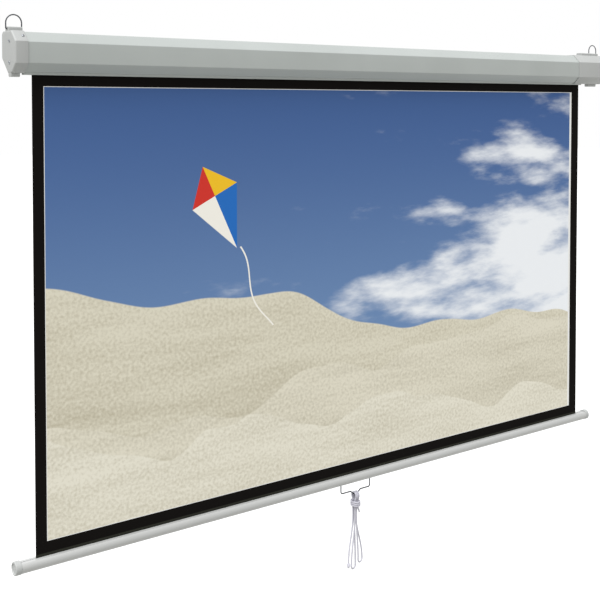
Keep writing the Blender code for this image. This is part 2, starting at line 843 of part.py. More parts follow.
def pawl_outline(turn):
    """The pawl's outline from its pivot, in Y and Z, for a pivot at the angle turn."""
    half = PAWL_HALF_WIDTH
    reach = (pawl_elbow - pawl_pivot).length
    eye = [
        (PAWL_EYE_RADIUS * math.cos(angle), PAWL_EYE_RADIUS * math.sin(angle))
        for angle in (math.radians(step) for step in range(40, 321, 28))
    ]
    nose_length = half + PAWL_NOSE
    local = [*eye, (reach, -half), (reach + half, 0), (reach + half, nose_length)]
    local += [(reach - half, nose_length), (reach - half, half)]
    placed = [arm * u + nose_way * v for u, v in local]
    spin = Matrix.Rotation(turn, 2)
    return [tuple(spin @ point) for point in placed]


ratchet_wheel = prism(
    "ratchet_wheel", ratchet_outline(), ratchet_low, ratchet_high, zinc_steel, origin=(roller_y, 0)
)
hub_join = ratchet_high - RATCHET_THICKNESS / 2
join(
    ratchet_wheel,
    rod("ratchet_hub", (hub_join, roller_y, 0), (hub_high, roller_y, 0), RATCHET_HUB_RADIUS),
)
cut(
    ratchet_wheel,
    rod("ratchet_bore", (ratchet_low - GAP, roller_y, 0), (hub_high + GAP, roller_y, 0), shaft_bore),
)
pawls = []
pawl_pins = []
for name, angle in zip(("upper_pawl", "lower_pawl"), pawl_angles):
    y, z = on_circle(PAWL_PIVOT_CIRCLE, angle)
    pawl = prism(
        name, pawl_outline(angle), ratchet_low, ratchet_low + PAWL_THICKNESS, spring_steel, origin=(roller_y + y, z)
    )
    pin_top = ratchet_low + PAWL_THICKNESS + GAP + PAWL_PIN_HEAD
    pawl_hole = rod(
        f"{name}_hole",
        (ratchet_low - GAP, roller_y + y, z),
        (pin_top, roller_y + y, z),
        PAWL_PIN_RADIUS + GAP,
        steps=16,
    )
    cut(pawl, pawl_hole)
    pawls.append(pawl)
    pin_profile = [
        (0, pin_top),
        (PAWL_PIN_HEAD_RADIUS, pin_top),
        (PAWL_PIN_HEAD_RADIUS, pin_top - PAWL_PIN_HEAD),
        (PAWL_PIN_RADIUS, pin_top - PAWL_PIN_HEAD),
        (PAWL_PIN_RADIUS, pin_seat),
        (0, pin_seat),
    ]
    pawl_pins.append(turned(f"{name}_pin", pin_profile, (0, roller_y + y, z), zinc_steel, steps=16))

# Spindle, its right end flattened for the bracket's hole
plug_end = tube_end + GAP - PLUG_SPIGOT
spring_hub_high = plug_end - WASHER_THICKNESS - 2 * GAP
spring_hub_low = spring_hub_high - HUB_FLANGE
anchor_face = spring_hub_low - SPRING_LENGTH
spindle_low = anchor_face - ANCHOR_LENGTH / 2
spindle_high = right_face - CAP_END_WALL - GAP
spindle = rod("spindle", (spindle_low, roller_y, 0), (spindle_high, roller_y, 0), SHAFT_RADIUS, zinc_steel)
for label, side in (("upper", 1), ("lower", -1)):
    near, far = side * SPINDLE_FLAT / 2, side * 2 * SHAFT_RADIUS
    flat = box(
        f"spindle_{label}_flat",
        (spindle_high - SPINDLE_FLAT_LENGTH, roller_y - 2 * SHAFT_RADIUS, min(near, far)),
        (spindle_high + GAP, roller_y + 2 * SHAFT_RADIUS, max(near, far)),
    )
    cut(spindle, flat)

ring("lock_washer", shaft_bore, WASHER_RADIUS, washer_low, washer_low + WASHER_THICKNESS, zinc_steel)
ring("spring_washer", shaft_bore, WASHER_RADIUS, spring_hub_high + GAP, plug_end - GAP, zinc_steel)

spring_hub = turned(
    "spring_hub",
    [
        (HUB_FLANGE_RADIUS, spring_hub_high),
        (HUB_FLANGE_RADIUS, spring_hub_low),
        (SPRING_SPIGOT_RADIUS, spring_hub_low),
        (SPRING_SPIGOT_RADIUS, spring_hub_low - SPRING_SPIGOT),
        (shaft_bore, spring_hub_low - SPRING_SPIGOT),
        (shaft_bore, spring_hub_high),
    ],
    (0, roller_y, 0),
    white_nylon,
    ring=True,
)
spring_anchor = turned(
    "spring_anchor",
    [
        (SPRING_SPIGOT_RADIUS, anchor_face + SPRING_SPIGOT),
        (SPRING_SPIGOT_RADIUS, anchor_face),
        (plug_radius, anchor_face),
        (plug_radius, anchor_face - ANCHOR_LENGTH),
        (shaft_bore, anchor_face - ANCHOR_LENGTH),
        (shaft_bore, anchor_face + SPRING_SPIGOT),
    ],
    (0, roller_y, 0),
    white_nylon,
    ring=True,
)

# Cross pins hold the spring hub and the ratchet wheel to the spindle
pin_places = (
    ("hub_cross_pin", (spring_hub_low + spring_hub_high) / 2, HUB_FLANGE_RADIUS - GAP, spring_hub),
    ("ratchet_cross_pin", ratchet_high + RATCHET_HUB / 2, RATCHET_HUB_RADIUS - GAP, ratchet_wheel),
)
for name, x, reach, held in pin_places:
    rod(name, (x, roller_y, -reach), (x, roller_y, reach), CROSS_PIN_RADIUS, zinc_steel, steps=16)
    for target, label in ((held, "seat"), (spindle, "spindle")):
        past = ((x, roller_y, -reach - 3 * GAP), (x, roller_y, reach + 3 * GAP))
        cut(target, rod(f"{name}_{label}_hole", *past, CROSS_PIN_RADIUS + GAP, steps=16))


def helix(turns, per_turn, radius, start, advance, centre):
    """Points of a helix along X about a line through the centre's Y and Z."""
    made = []
    for step in range(int(turns * per_turn) + 1):
        angle = TURN * step / per_turn
        x = start + advance * step / (turns * per_turn)
        made.append((x, centre[0] + radius * math.cos(angle), centre[1] + radius * math.sin(angle)))
    return made


spring_start = anchor_face + GAP + SPRING_WIRE
spring_advance = SPRING_LENGTH - 2 * (GAP + SPRING_WIRE)
spring_points = helix(
    SPRING_TURNS, SPRING_POINTS, SPRING_RADIUS, spring_start, spring_advance, (roller_y, 0)
)
lift_spring = wire("lift_spring", spring_points, SPRING_WIRE, (0, roller_y, 0), spring_steel, resolution=1)


def screen_cloth(name):
    """The hanging sheet, one thin solid whose faces round the picture are black in front."""
    low = channel_z + ROD_RADIUS + GAP
    shape = bmesh.new()
    bmesh.ops.create_cube(shape, size=1)
    size = Vector((2 * sheet_half, SHEET_THICKNESS, -low))
    bmesh.ops.scale(shape, verts=shape.verts, vec=size)
    bmesh.ops.translate(shape, verts=shape.verts, vec=(0, 0, low / 2))
    for x in (-PICTURE_WIDTH / 2, PICTURE_WIDTH / 2):
        everything = [*shape.verts, *shape.edges, *shape.faces]
        bmesh.ops.bisect_plane(shape, geom=everything, plane_co=(x, 0, 0), plane_no=(1, 0, 0))
    for z in (picture_top, picture_bottom):
        everything = [*shape.verts, *shape.edges, *shape.faces]
        bmesh.ops.bisect_plane(shape, geom=everything, plane_co=(0, 0, z), plane_no=(0, 0, 1))
    for face in shape.faces:
        middle = face.calc_center_median()
        in_picture = abs(middle.x) < PICTURE_WIDTH / 2 and picture_bottom < middle.z < picture_top
        face.material_index = 1 if face.normal.y < -0.5 and not in_picture else 0
    mesh = bpy.data.meshes.new(name)
    shape.to_mesh(mesh)
    shape.free()
    made = place(name, mesh, (0, sheet_y, 0), white_fabric)
    mesh.materials.append(black_border)
    return made


screen_sheet = screen_cloth("screen_sheet")


def arc_points(radius, start, end, steps):
    """Points on an arc about the middle, from one angle to another in degrees."""
    angles = [math.radians(start + (end - start) * step / steps) for step in range(steps + 1)]
    return [(radius * math.cos(angle), radius * math.sin(angle)) for angle in angles]


def bar_outlines():
    """The bar's end view from its middle: the outside with its keyed slot, and the hollow."""
    flat_angle = math.degrees(math.asin(BAR_FLAT / BAR_RADIUS))
    outside = arc_points(BAR_RADIUS, flat_angle, -180 - flat_angle, 30)
    half = BAR_MOUTH / 2
    neck = math.degrees(math.asin(half / BAR_CHANNEL_RADIUS))
    channel = [
        (y, z + channel_z - bar_z) for y, z in arc_points(BAR_CHANNEL_RADIUS, 90 + neck, 450 - neck, 14)
    ]
    outside += [(-half, BAR_FLAT), *channel, (half, BAR_FLAT)]
    chord = math.degrees(math.asin(hollow_top / hollow_radius))
    return outside, arc_points(hollow_radius, chord, -180 - chord, 24)


def extrusion(name, loops, low, high, surface, origin):
    """An outline with a hollow, pushed along X: a filled 2D curve made into a mesh."""
    data = bpy.data.curves.new(name, "CURVE")
    data.dimensions = "2D"
    data.fill_mode = "BOTH"
    data.extrude = (high - low) / 2
    for loop in loops:
        spline = data.splines.new("POLY")
        spline.points.add(len(loop) - 1)
        for target, (u, v) in zip(spline.points, loop):
            target.co = (u, v, 0, 1)
        spline.use_cyclic_u = True
    curve = place(name + "_curve", data)
    along_x = Matrix(((0, 0, 1, (low + high) / 2), (1, 0, 0, origin[0]), (0, 1, 0, origin[1]), (0, 0, 0, 1)))
    curve.matrix_world = along_x
    bpy.context.view_layer.update()
    graph = bpy.context.evaluated_depsgraph_get()
    mesh = bpy.data.meshes.new_from_object(curve.evaluated_get(graph))
    mesh.name = name
    shape = bmesh.new()
    shape.from_mesh(mesh)
    bmesh.ops.remove_doubles(shape, verts=shape.verts, dist=WELD)
    bmesh.ops.recalc_face_normals(shape, faces=shape.faces)
    shape.to_mesh(mesh)
    shape.free()
    mesh.materials.clear()
    made = place(name, mesh, (0, 0, 0), surface)
    made.matrix_world = along_x
    bpy.data.objects.remove(curve, do_unlink=True)
    return made


# Weight bar with its rod and plugs
bar_half = sheet_half + BAR_OVERHANG
outside_loop, hollow_loop = bar_outlines()
weight_bar = extrusion(
    "weight_bar", (outside_loop, hollow_loop), -bar_half, bar_half, bar_aluminium, (sheet_y, bar_z)
)
slot_x = BRACKET_WIRE + BRACKET_SLOT_CLEARANCE
for label, side in (("left", -1), ("right", 1)):
    x = BRACKET_OFFSET + side * BRACKET_WIDTH / 2
    slot = box(
        f"{label}_bracket_slot",
        (x - slot_x, sheet_y - BRACKET_SLOT_LENGTH / 2, bar_z - BAR_RADIUS - BAR_WALL),
        (x + slot_x, sheet_y + BRACKET_SLOT_LENGTH / 2, bracket_pivot_z),
    )
    cut(weight_bar, slot)
smooth(weight_bar)
hem_rod = rod(
    "hem_rod", (-sheet_half, sheet_y, channel_z), (sheet_half, sheet_y, channel_z), ROD_RADIUS, white_nylon, steps=16
)


def bar_plug(name, side):
    """An end plug: a dished round head and a spigot that fills the bar's hollow."""
    length, edge = BAR_PLUG_LENGTH, BAR_PLUG_EDGE
    profile = [
        (0, length - BAR_PLUG_DISH),
        (BAR_PLUG_DISH_RADIUS, length - BAR_PLUG_DISH),
        (BAR_PLUG_DISH_RADIUS + edge / 2, length),
        (BAR_PLUG_RADIUS - edge, length),
        (BAR_PLUG_RADIUS - edge * 0.3, length - edge * 0.3),
        (BAR_PLUG_RADIUS, length - edge),
        (BAR_PLUG_RADIUS, 0),
        (0, 0),
    ]
    start = side * (bar_half + GAP)
    head = turned(name, profile, (start, sheet_y, bar_z), cap_plastic, towards=side)
    inner = hollow_radius - GAP
    chord = math.degrees(math.asin((hollow_top - GAP) / inner))
    ends = sorted((start - side * BAR_PLUG_SPIGOT, start + side * length / 2))
    spigot = prism(f"{name}_spigot", arc_points(inner, chord, -180 - chord, 24), *ends, origin=(sheet_y, bar_z))
    return join(head, spigot)


left_bar_plug = bar_plug("left_bar_plug", -1)
right_bar_plug = bar_plug("right_bar_plug", 1)


def bracket_route():
    """Corner points of the pull bracket's wire from its left foot to its right foot."""
    half = BRACKET_WIDTH / 2
    left = [
        (-half - BRACKET_FOOT, bracket_pivot_z, 0),
        (-half, bracket_pivot_z, BRACKET_BEND),
        (-half, bracket_low_z, BRACKET_CORNER),
        (-DIP_WIDTH / 2, bracket_low_z, DIP_BEND),
        (-DIP_FLOOR / 2, dip_z, DIP_BEND),
    ]
    corners = [*left, *[(-x, z, bend) for x, z, bend in reversed(left)]]
    made = [corners[0][:2]]
    for index in range(1, len(corners) - 1):
        three = [corners[index + step][:2] for step in (-1, 0, 1)]
        made += rounded(three, corners[index][2], steps=4)[1:-1]
    made.append(corners[-1][:2])
    return [(BRACKET_OFFSET + x, sheet_y, z) for x, z in made]


pull_bracket = wire(
    "pull_bracket", bracket_route(), BRACKET_WIRE, (BRACKET_OFFSET, sheet_y, bracket_pivot_z), spring_steel
)

arch_z = BRACKET_WIRE + GAP + CORD_RADIUS - CORD_ARCH


def cord_strand(top, foot, side, drop):
    """One run of the hank from the arch's end down to a drop below the bracket.

    It starts at an arch's side, draws in to the tie by an S bend, stays narrow to the
    waist and spreads from there to its foot by a sine squared. Side is -1 in front of
    the bracket and 1 behind it.
    """
    bends = [arch_z - CORD_S_BEND * step / 4 for step in range(5)]
    waist = -min(CORD_WAIST, drop * SHORT_WAIST_SHARE)
    levels = bends + [waist + (-drop - waist) * step / 6 for step in range(7)]
    made = []
    for level in levels:
        into_bend = min(1, (arch_z - level) / CORD_S_BEND)
        draw = into_bend * into_bend * (3 - 2 * into_bend)
        spread = max(0, (waist - level) / (waist + drop))
        lean = math.sin(spread * math.pi / 2) ** 2
        depth = CORD_ARCH + (CORD_NARROW - CORD_ARCH) * draw + (CORD_LOW_DEPTH - CORD_NARROW) * lean
        made.append((top + (foot - top) * lean, side * depth, level))
    return made


def cord_arch(x):
    """Points over the bracket's wire from back to front, without the two ends."""
    angles = [math.pi * step / 6 for step in range(1, 6)]
    return [(x, CORD_ARCH * math.cos(angle), arch_z + CORD_ARCH * math.sin(angle)) for angle in angles]


def cord_turn(left, right, drop):
    """Points of a loop's lower turn from the front run at left to the back run at right."""
    middle, radius = (left + right) / 2, (right - left) / 2
    made = []
    for step in range(1, 6):
        angle = math.pi * step / 6
        y = -CORD_LOW_DEPTH * math.cos(angle)
        made.append((middle - radius * math.cos(angle), y, -drop - radius * math.sin(angle)))
    return made


def cord_route():
    """The unbroken cord: tail, over, left loop, over, right loop, over, short tail."""
    tops = [top * CORD_PITCH for top in CORD_STRAND_TOPS]
    left_turn = LEFT_LOOP_DROP - (LEFT_LOOP[1] - LEFT_LOOP[0]) / 2
    right_turn = RIGHT_LOOP_DROP - (RIGHT_LOOP[1] - RIGHT_LOOP[0]) / 2
    route = list(reversed(cord_strand(tops[0], TAIL_SPREAD, 1, TAIL_DROP)))
    route += cord_arch(tops[0])
    route += cord_strand(tops[0], LEFT_LOOP[0], -1, left_turn)
    route += cord_turn(*LEFT_LOOP, left_turn)
    route += reversed(cord_strand(tops[1], LEFT_LOOP[1], 1, left_turn))
    route += cord_arch(tops[1])
    route += cord_strand(tops[1], RIGHT_LOOP[0], -1, right_turn)
    route += cord_turn(*RIGHT_LOOP, right_turn)
    route += reversed(cord_strand(tops[2], RIGHT_LOOP[1], 1, right_turn))
    route += cord_arch(tops[2])
    short = cord_strand(tops[2], SHORT_TAIL_SPREAD, -1, SHORT_TAIL_DROP)
    route += short
    return [(BRACKET_OFFSET + x, sheet_y + y, dip_z + z) for x, y, z in route]


def tie_route():
    """The tie's turns about the hank, just below the bracket."""
    made = []
    for step in range(TIE_TURNS * TIE_POINTS + 1):
        angle = TURN * step / TIE_POINTS
        z = dip_z - TIE_DROP - TIE_PITCH * step / TIE_POINTS
        x = BRACKET_OFFSET + TIE_RADIUS * math.cos(angle)
        made.append((x, sheet_y + TIE_RADIUS * math.sin(angle), z))
    return made


def fine_points(points, spacing):
    """A path with extra points, so that no two neighbours lie further apart than told."""
    made = []
    for start, end in zip(points, points[1:]):
        start, end = Vector(start), Vector(end)
        count = max(1, math.ceil((end - start).length / spacing))
        made += [start.lerp(end, step / count) for step in range(count)]
    return [*made, Vector(points[-1])]


def least_gap(points, radius):
    """The least free distance between stretches of a tube that aren't neighbours."""
    fine = fine_points(points, radius)
    skip = 8
    least = math.inf
    for index, point in enumerate(fine):
        for other in fine[index + skip:]:
            least = min(least, (point - other).length)
    return least - 2 * radius


cord_points = cord_route()
tie_points = tie_route()
for label, points in (("pull cord", cord_points), ("cord tie", tie_points)):
    gap = least_gap(points, CORD_RADIUS)
    length = sum((Vector(b) - Vector(a)).length for a, b in zip(points, points[1:]))
    word = "clear" if gap > LEAST_CORD_GAP else "too close"
    print(f"{label}: length {length:.3f} m, least gap to itself {gap * 1000:.2f} mm, {word}")
cord_origin = (BRACKET_OFFSET, sheet_y, dip_z)
pull_cord = wire("pull_cord", cord_points, CORD_RADIUS, cord_origin, white_cord, resolution=1)
cord_tie = wire("cord_tie", tie_points, CORD_RADIUS, cord_origin, white_cord, resolution=1)


def carry(name, location, pieces):
    """An empty on a joint's axis that its moving pieces hang from."""
    pivot = bpy.data.objects.new(name, None)
    pivot.location = location
    screen.objects.link(pivot)
    for piece in pieces:
        piece.parent = pivot
        piece.matrix_parent_inverse = Matrix.Translation(location).inverted()
    return pivot


roller_axis = carry(
    "roller_axis",
    (0, roller_y, 0),
    [roller_tube, fabric_wraps, idler_plug, idler_pin, drive_plug, spring_anchor, *pawl_pins],
)
bar_slide = carry("bar_slide", (0, sheet_y, bar_z), [weight_bar, hem_rod, left_bar_plug, right_bar_plug])
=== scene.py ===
"""Looks of a pull-down projection screen, dressed over its CAD frame. Sizes are in metres."""

import math

import bmesh
import bpy
import numpy as np
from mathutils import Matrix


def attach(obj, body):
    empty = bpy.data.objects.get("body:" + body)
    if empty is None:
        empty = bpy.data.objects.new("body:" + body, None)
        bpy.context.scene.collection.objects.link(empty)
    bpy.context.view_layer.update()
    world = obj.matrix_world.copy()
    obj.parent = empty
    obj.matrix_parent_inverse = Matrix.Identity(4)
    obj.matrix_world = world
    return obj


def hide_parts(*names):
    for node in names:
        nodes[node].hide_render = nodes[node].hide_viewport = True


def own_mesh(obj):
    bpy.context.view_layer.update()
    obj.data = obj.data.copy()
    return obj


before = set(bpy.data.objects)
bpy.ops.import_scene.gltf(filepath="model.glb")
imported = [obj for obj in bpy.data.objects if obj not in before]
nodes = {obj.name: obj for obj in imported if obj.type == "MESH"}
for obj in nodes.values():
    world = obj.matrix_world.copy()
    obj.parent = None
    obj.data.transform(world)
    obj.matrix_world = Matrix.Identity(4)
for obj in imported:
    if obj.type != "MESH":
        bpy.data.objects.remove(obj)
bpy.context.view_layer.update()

# Camera. It stands to the left of the screen, a little below the case, and looks slightly
# down. The rest of the drop from case to cord is taken by a shifted lens.
camera = bpy.data.cameras.new("camera")
camera.lens = 64.5
camera.sensor_width = 36
camera.shift_y = -0.261
camera.clip_start = 0.05
viewer = bpy.data.objects.new("camera", camera)
viewer.location = (-1.946, -2.3389, -0.1205)
viewer.rotation_euler = (math.radians(88), 0, math.radians(-37.185))
bpy.context.scene.collection.objects.link(viewer)
bpy.context.scene.camera = viewer


# Pull cord. A limp polyester braid 4.6 mm thick and about 1.17 m long, laid three times
# over the dip of the wire pull in two loops and a tail. A turned end of the same braid
# ties the hank below the wire, and a knot stops the tail from fraying.
GAP = 0.0003
SHEET_Y = -0.041
PULL_X = -0.006
PULL_WIRE = 0.0018
DIP_Z = -1.2148
CORD_RADIUS = 0.0023
ARCH = 0.0092
ARCH_Z = PULL_WIRE + GAP + CORD_RADIUS - ARCH
STRAND_PITCH = 0.0052
NARROW_DEPTH = 0.0045
LOW_DEPTH = 0.0027
S_BEND = 0.016
WAIST = 0.060
SHORT_WAIST_SHARE = 0.68
LEFT_LOOP = (-0.0167, 0.002, 0.214)
RIGHT_LOOP = (0.008, 0.0267, 0.201)
LONG_TAIL = (-0.023, 0.196)
SHORT_TAIL = (0.012, 0.056)
TIE_RADIUS = 0.0125
TIE_TURNS = 3
TIE_STEPS = 28
TIE_PITCH = 0.0052
TIE_DROP = 0.0190
STRAND_STEP = 0.0035
KNOT_RADIUS = 0.0056
KNOT_HEIGHT = 0.0135
KNOT_TRIM = 0.10
KNOT_RIB = 0.12
KNOT_FULLNESS = 0.55
KNOT_GRID = (17, 24)
KNOT_SEAT = 0.0002
KNOT_LAY = 1.4
BRAID_PITCH = 0.0046
BRAID_ENDS = 5


def linear(code):
    """Linear RGBA of an sRGB hex code: a share of 255 up to 0.04045 is divided by 12.92, and
    a larger one gets 0.055 added, is divided by 1.055 and raised to the power 2.4."""
    share = np.array([int(code[place:place + 2], 16) for place in (0, 2, 4)]) / 255
    value = np.where(share <= 0.04045, share / 12.92, ((share + 0.055) / 1.055) ** 2.4)
    return (*value.tolist(), 1.0)


def fill(node, inputs):
    """Gives each named input of a node its value, or a link from another node."""
    for name, value in inputs.items():
        if isinstance(value, bpy.types.NodeSocket):
            node.id_data.links.new(value, node.inputs[name])
        else:
            node.inputs[name].default_value = value


def add(tree, kind, inputs=None, **settings):
    """Adds a shader node with its settings and inputs, and returns its outputs."""
    node = tree.nodes.new("ShaderNode" + kind)
    for name, value in settings.items():
        setattr(node, name, value)
    fill(node, inputs or {})
    return node.outputs


def surface(name, roughness, metallic=0.0):
    """A new material with its tree and shader, and the shader's even values set."""
    made = bpy.data.materials.new(name)
    made.use_nodes = True
    shader = made.node_tree.nodes["Principled BSDF"]
    fill(shader, {"Roughness": roughness, "Metallic": metallic})
    return made, made.node_tree, shader


def dress(tree, shader, tone, colours, wear, gloss, height, strength, depth):
    """Gives a shader the two colours mixed by a tone, a roughness that goes from one value
    to the other with the wear, and a relief of a strength and depth from a height."""
    low, high = (linear(code) for code in colours)
    least, most = gloss
    fill(shader, {
        "Base Color": add(tree, "Mix", {0: tone, 6: low, 7: high}, data_type="RGBA")[2],
        "Roughness": add(tree, "MapRange", {"Value": wear, "To Min": least, "To Max": most})[0],
        "Normal": add(tree, "Bump", {"Strength": strength, "Distance": depth, "Height": height})[0],
    })


def unit(vectors):
    """Each vector divided by its length."""
    return vectors / np.linalg.norm(vectors, axis=-1, keepdims=True)


def grid_faces(rows, columns):
    """Quads of a grid closed round its columns: each joins a point to the next in its row
    and to the two above them, and the last column joins the first."""
    index = np.arange(rows * columns).reshape(rows, columns)
    index = np.concatenate([index, index[:, :1]], axis=1)
    corners = [index[:-1, :-1], index[:-1, 1:], index[1:, 1:], index[1:, :-1]]
    return np.stack(corners, axis=-1).reshape(-1, 4)


def grid_lay(across, along):
    """UV pairs of the quads' corners, from the columns' values across, with one more for the
    closing column, and the rows' values along."""
    u, v = np.meshgrid(across, along)
    lay = np.stack([u, v], axis=-1)
    corners = [lay[:-1, :-1], lay[:-1, 1:], lay[1:, 1:], lay[1:, :-1]]
    return np.stack(corners, axis=2).reshape(-1, 2)


def new_piece(name, points, finish, body, sharp=35, lay=None, ends=None):
    """A closed mesh that rides on a CAD body: the quads of a grid of points, and as its ends
    a face over the first row and over the last, or those told. Faces turn outwards, and edges
    sharper than told, in degrees, stay crisp. Lay holds the quads' UVs."""
    rows, columns = points.shape[:2]
    if ends is None:
        ends = [list(range(columns)), list(range((rows - 1) * columns, rows * columns))]
    mesh = bpy.data.meshes.new(name)
    faces = grid_faces(rows, columns).tolist() + ends
    mesh.from_pydata(points.reshape(-1, 3).tolist(), [], faces)
    if lay is not None:
        pairs = np.zeros((len(mesh.loops), 2))
        pairs[:len(lay)] = lay
        mesh.uv_layers.new(name="lay").data.foreach_set("uv", pairs.ravel())
    shape = bmesh.new()
    shape.from_mesh(mesh)
    bmesh.ops.recalc_face_normals(shape, faces=shape.faces)
    shape.to_mesh(mesh)
    shape.free()
    mesh.shade_smooth()
    mesh.set_sharp_from_angle(angle=math.radians(sharp))
    mesh.materials.append(finish)
    piece = bpy.data.objects.new(name, mesh)
    bpy.context.scene.collection.objects.link(piece)
    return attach(piece, body)


def tube(name, path, radius, finish, body, reference, sides=12):
    """A round tube. Each point of the path gets a ring of the radius in the plane of two
    normals: the part of the reference direction square to the path, and its cross product
    with the path. The two ends are closed."""
    along = unit(np.gradient(path, axis=0))
    normal = unit(reference - along * (along @ reference)[:, None])
    binormal = np.cross(along, normal)
    turn = np.linspace(0, 2 * np.pi, sides, endpoint=False)[None, :, None]
    spoke = np.cos(turn) * normal[:, None] + np.sin(turn) * binormal[:, None]
    rings = path[:, None] + radius * spoke
    run = np.concatenate([[0], np.cumsum(np.linalg.norm(np.diff(path, axis=0), axis=1))])
    lay = grid_lay(np.linspace(0, 1, sides + 1), run)
    return new_piece(name, rings, finish, body, sharp=50, lay=lay)


def cord_strand(top, side, foot, drop):
    """One run of the hank. It starts at an arch's side, draws in to the tie by a smooth step
    over the S bend, stays narrow to the waist, and spreads to its foot by a sine squared."""
    waist = -min(WAIST, drop * SHORT_WAIST_SHARE)
    bend = np.linspace(ARCH_Z, ARCH_Z - S_BEND, 9)
    straight = np.linspace(bend[-1], waist, 10)[1:]
    spread = np.linspace(waist, -drop, 1 + math.ceil((waist + drop) / STRAND_STEP))[1:]
    level = np.concatenate([bend, straight, spread])
    into = np.clip((ARCH_Z - level) / S_BEND, 0, 1)
    draw = into * into * (3 - 2 * into)
    lean = np.sin(np.clip((waist - level) / (waist + drop), 0, 1) * np.pi / 2) ** 2
    depth = ARCH + (NARROW_DEPTH - ARCH) * draw + (LOW_DEPTH - NARROW_DEPTH) * lean
    return np.stack([top + (foot - top) * lean, side * depth, level], axis=1)


def cord_arch(x):
    """A half circle over the wire, from behind it to the front, without its two ends."""
    angle = np.linspace(0, np.pi, 13)[1:-1]
    y = ARCH * np.cos(angle)
    return np.stack([np.full_like(y, x), y, ARCH_Z + ARCH * np.sin(angle)], axis=1)


def cord_turn(left, right, drop):
    """A loop's lower half circle, which goes from the front to the back by a cosine."""
    angle = np.linspace(0, np.pi, 17)[1:-1]
    reach = (right - left) / 2
    x = (left + right) / 2 - reach * np.cos(angle)
    return np.stack([x, -LOW_DEPTH * np.cos(angle), -drop - reach * np.sin(angle)], axis=1)


left_turn = LEFT_LOOP[2] - (LEFT_LOOP[1] - LEFT_LOOP[0]) / 2
right_turn = RIGHT_LOOP[2] - (RIGHT_LOOP[1] - RIGHT_LOOP[0]) / 2
cord_route = np.concatenate([
    cord_strand(-STRAND_PITCH, 1, *LONG_TAIL)[::-1],
    cord_arch(-STRAND_PITCH),
    cord_strand(-STRAND_PITCH, -1, LEFT_LOOP[0], left_turn),
    cord_turn(LEFT_LOOP[0], LEFT_LOOP[1], left_turn),
    cord_strand(0, 1, LEFT_LOOP[1], left_turn)[::-1],
    cord_arch(0),
    cord_strand(0, -1, RIGHT_LOOP[0], right_turn),
    cord_turn(RIGHT_LOOP[0], RIGHT_LOOP[1], right_turn),
    cord_strand(STRAND_PITCH, 1, RIGHT_LOOP[1], right_turn)[::-1],
    cord_arch(STRAND_PITCH),
    cord_strand(STRAND_PITCH, -1, *SHORT_TAIL),
])
cord_route += (PULL_X, SHEET_Y, DIP_Z)

# Braided polyester, bleached white. It is drawn as soft crossing ribs, with painted shade that greys the
# white a little and darkens the grooves between the ribs. The carriers cross every 4.6 mm, about twice
# the real spacing, so that they show.
polyester_braid, tree, shader = surface("braided_polyester", 0.78)
lay = add(tree, "SeparateXYZ", {0: add(tree, "UVMap", uv_map="lay")[0]})
turn = add(tree, "Math", {0: lay["X"], 1: 2 * math.pi * BRAID_ENDS}, operation="MULTIPLY")[0]
run = add(tree, "Math", {0: lay["Y"], 1: 2 * math.pi / BRAID_PITCH}, operation="MULTIPLY")[0]
hands = [add(tree, "Math", {0: turn, 1: run}, operation=way)[0] for way in ("ADD", "SUBTRACT")]
ribs = [add(tree, "Math", {0: hand}, operation="SINE")[0] for hand in hands]
crossing = add(tree, "Math", {0: ribs[0], 1: ribs[1]}, operation="MULTIPLY")[0]
rib = add(tree, "MapRange", {"Value": crossing, "From Min": -1.0, "From Max": 1.0})[0]
# Painted shade: the dark tone greys the white and darkens the grooves between the ribs.
braid_with_groove_shade = add(tree, "Mix", {0: rib, 6: linear("A9A8B4"), 7: linear("DBDAE3")}, data_type="RGBA")[2]
relief = add(tree, "Bump", {"Strength": 0.6, "Distance": 0.0003, "Height": rib})[0]
fill(shader, {"Base Color": braid_with_groove_shade, "Normal": relief, "Sheen Weight": 0.2})

pull_cord = tube("pull_cord_braid", cord_route, CORD_RADIUS, polyester_braid, "handle", (1, 1, 0))
tie_turn = np.linspace(0, 2 * np.pi * TIE_TURNS, TIE_TURNS * TIE_STEPS + 1)
tie_route = np.stack([
    PULL_X + TIE_RADIUS * np.cos(tie_turn),
    SHEET_Y + TIE_RADIUS * np.sin(tie_turn),
    DIP_Z - TIE_DROP - TIE_PITCH * tie_turn / (2 * np.pi),
], axis=1)
cord_tie = tube("cord_tie_braid", tie_route, CORD_RADIUS, polyester_braid, "handle", (0, 0, 1))


def end_knot(name, top):
    """A tight knot below a point. Its rings swell as a sine from the top to the bottom, and
    their radius also rises and falls twice round, turning once over the height."""
    rows, sides = KNOT_GRID
    share = np.linspace(KNOT_TRIM, 1 - KNOT_TRIM, rows)[:, None]
    angle = np.linspace(0, 2 * np.pi, sides, endpoint=False)[None]
    swell = np.sin(np.pi * share) ** KNOT_FULLNESS
    rib = 1 - KNOT_RIB + KNOT_RIB * np.cos(2 * angle + 2 * np.pi * share)
    radius = KNOT_RADIUS * swell * rib
    down = (share - KNOT_TRIM) / (1 - 2 * KNOT_TRIM) * KNOT_HEIGHT
    rings = np.stack([
        top[0] + radius * np.cos(angle),
        top[1] + radius * np.sin(angle),
        top[2] - KNOT_SEAT - np.broadcast_to(down, radius.shape),
    ], axis=-1)
    lay = grid_lay(np.linspace(0, 2, sides + 1), down[:, 0] * KNOT_LAY)
    return new_piece(name, rings, polyester_braid, "handle", sharp=70, lay=lay)


cord_knot = end_knot("pull_cord_knot", cord_route[0])
for piece, node in ((pull_cord, "pull_cord"), (cord_tie, "cord_tie")):
    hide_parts(node)


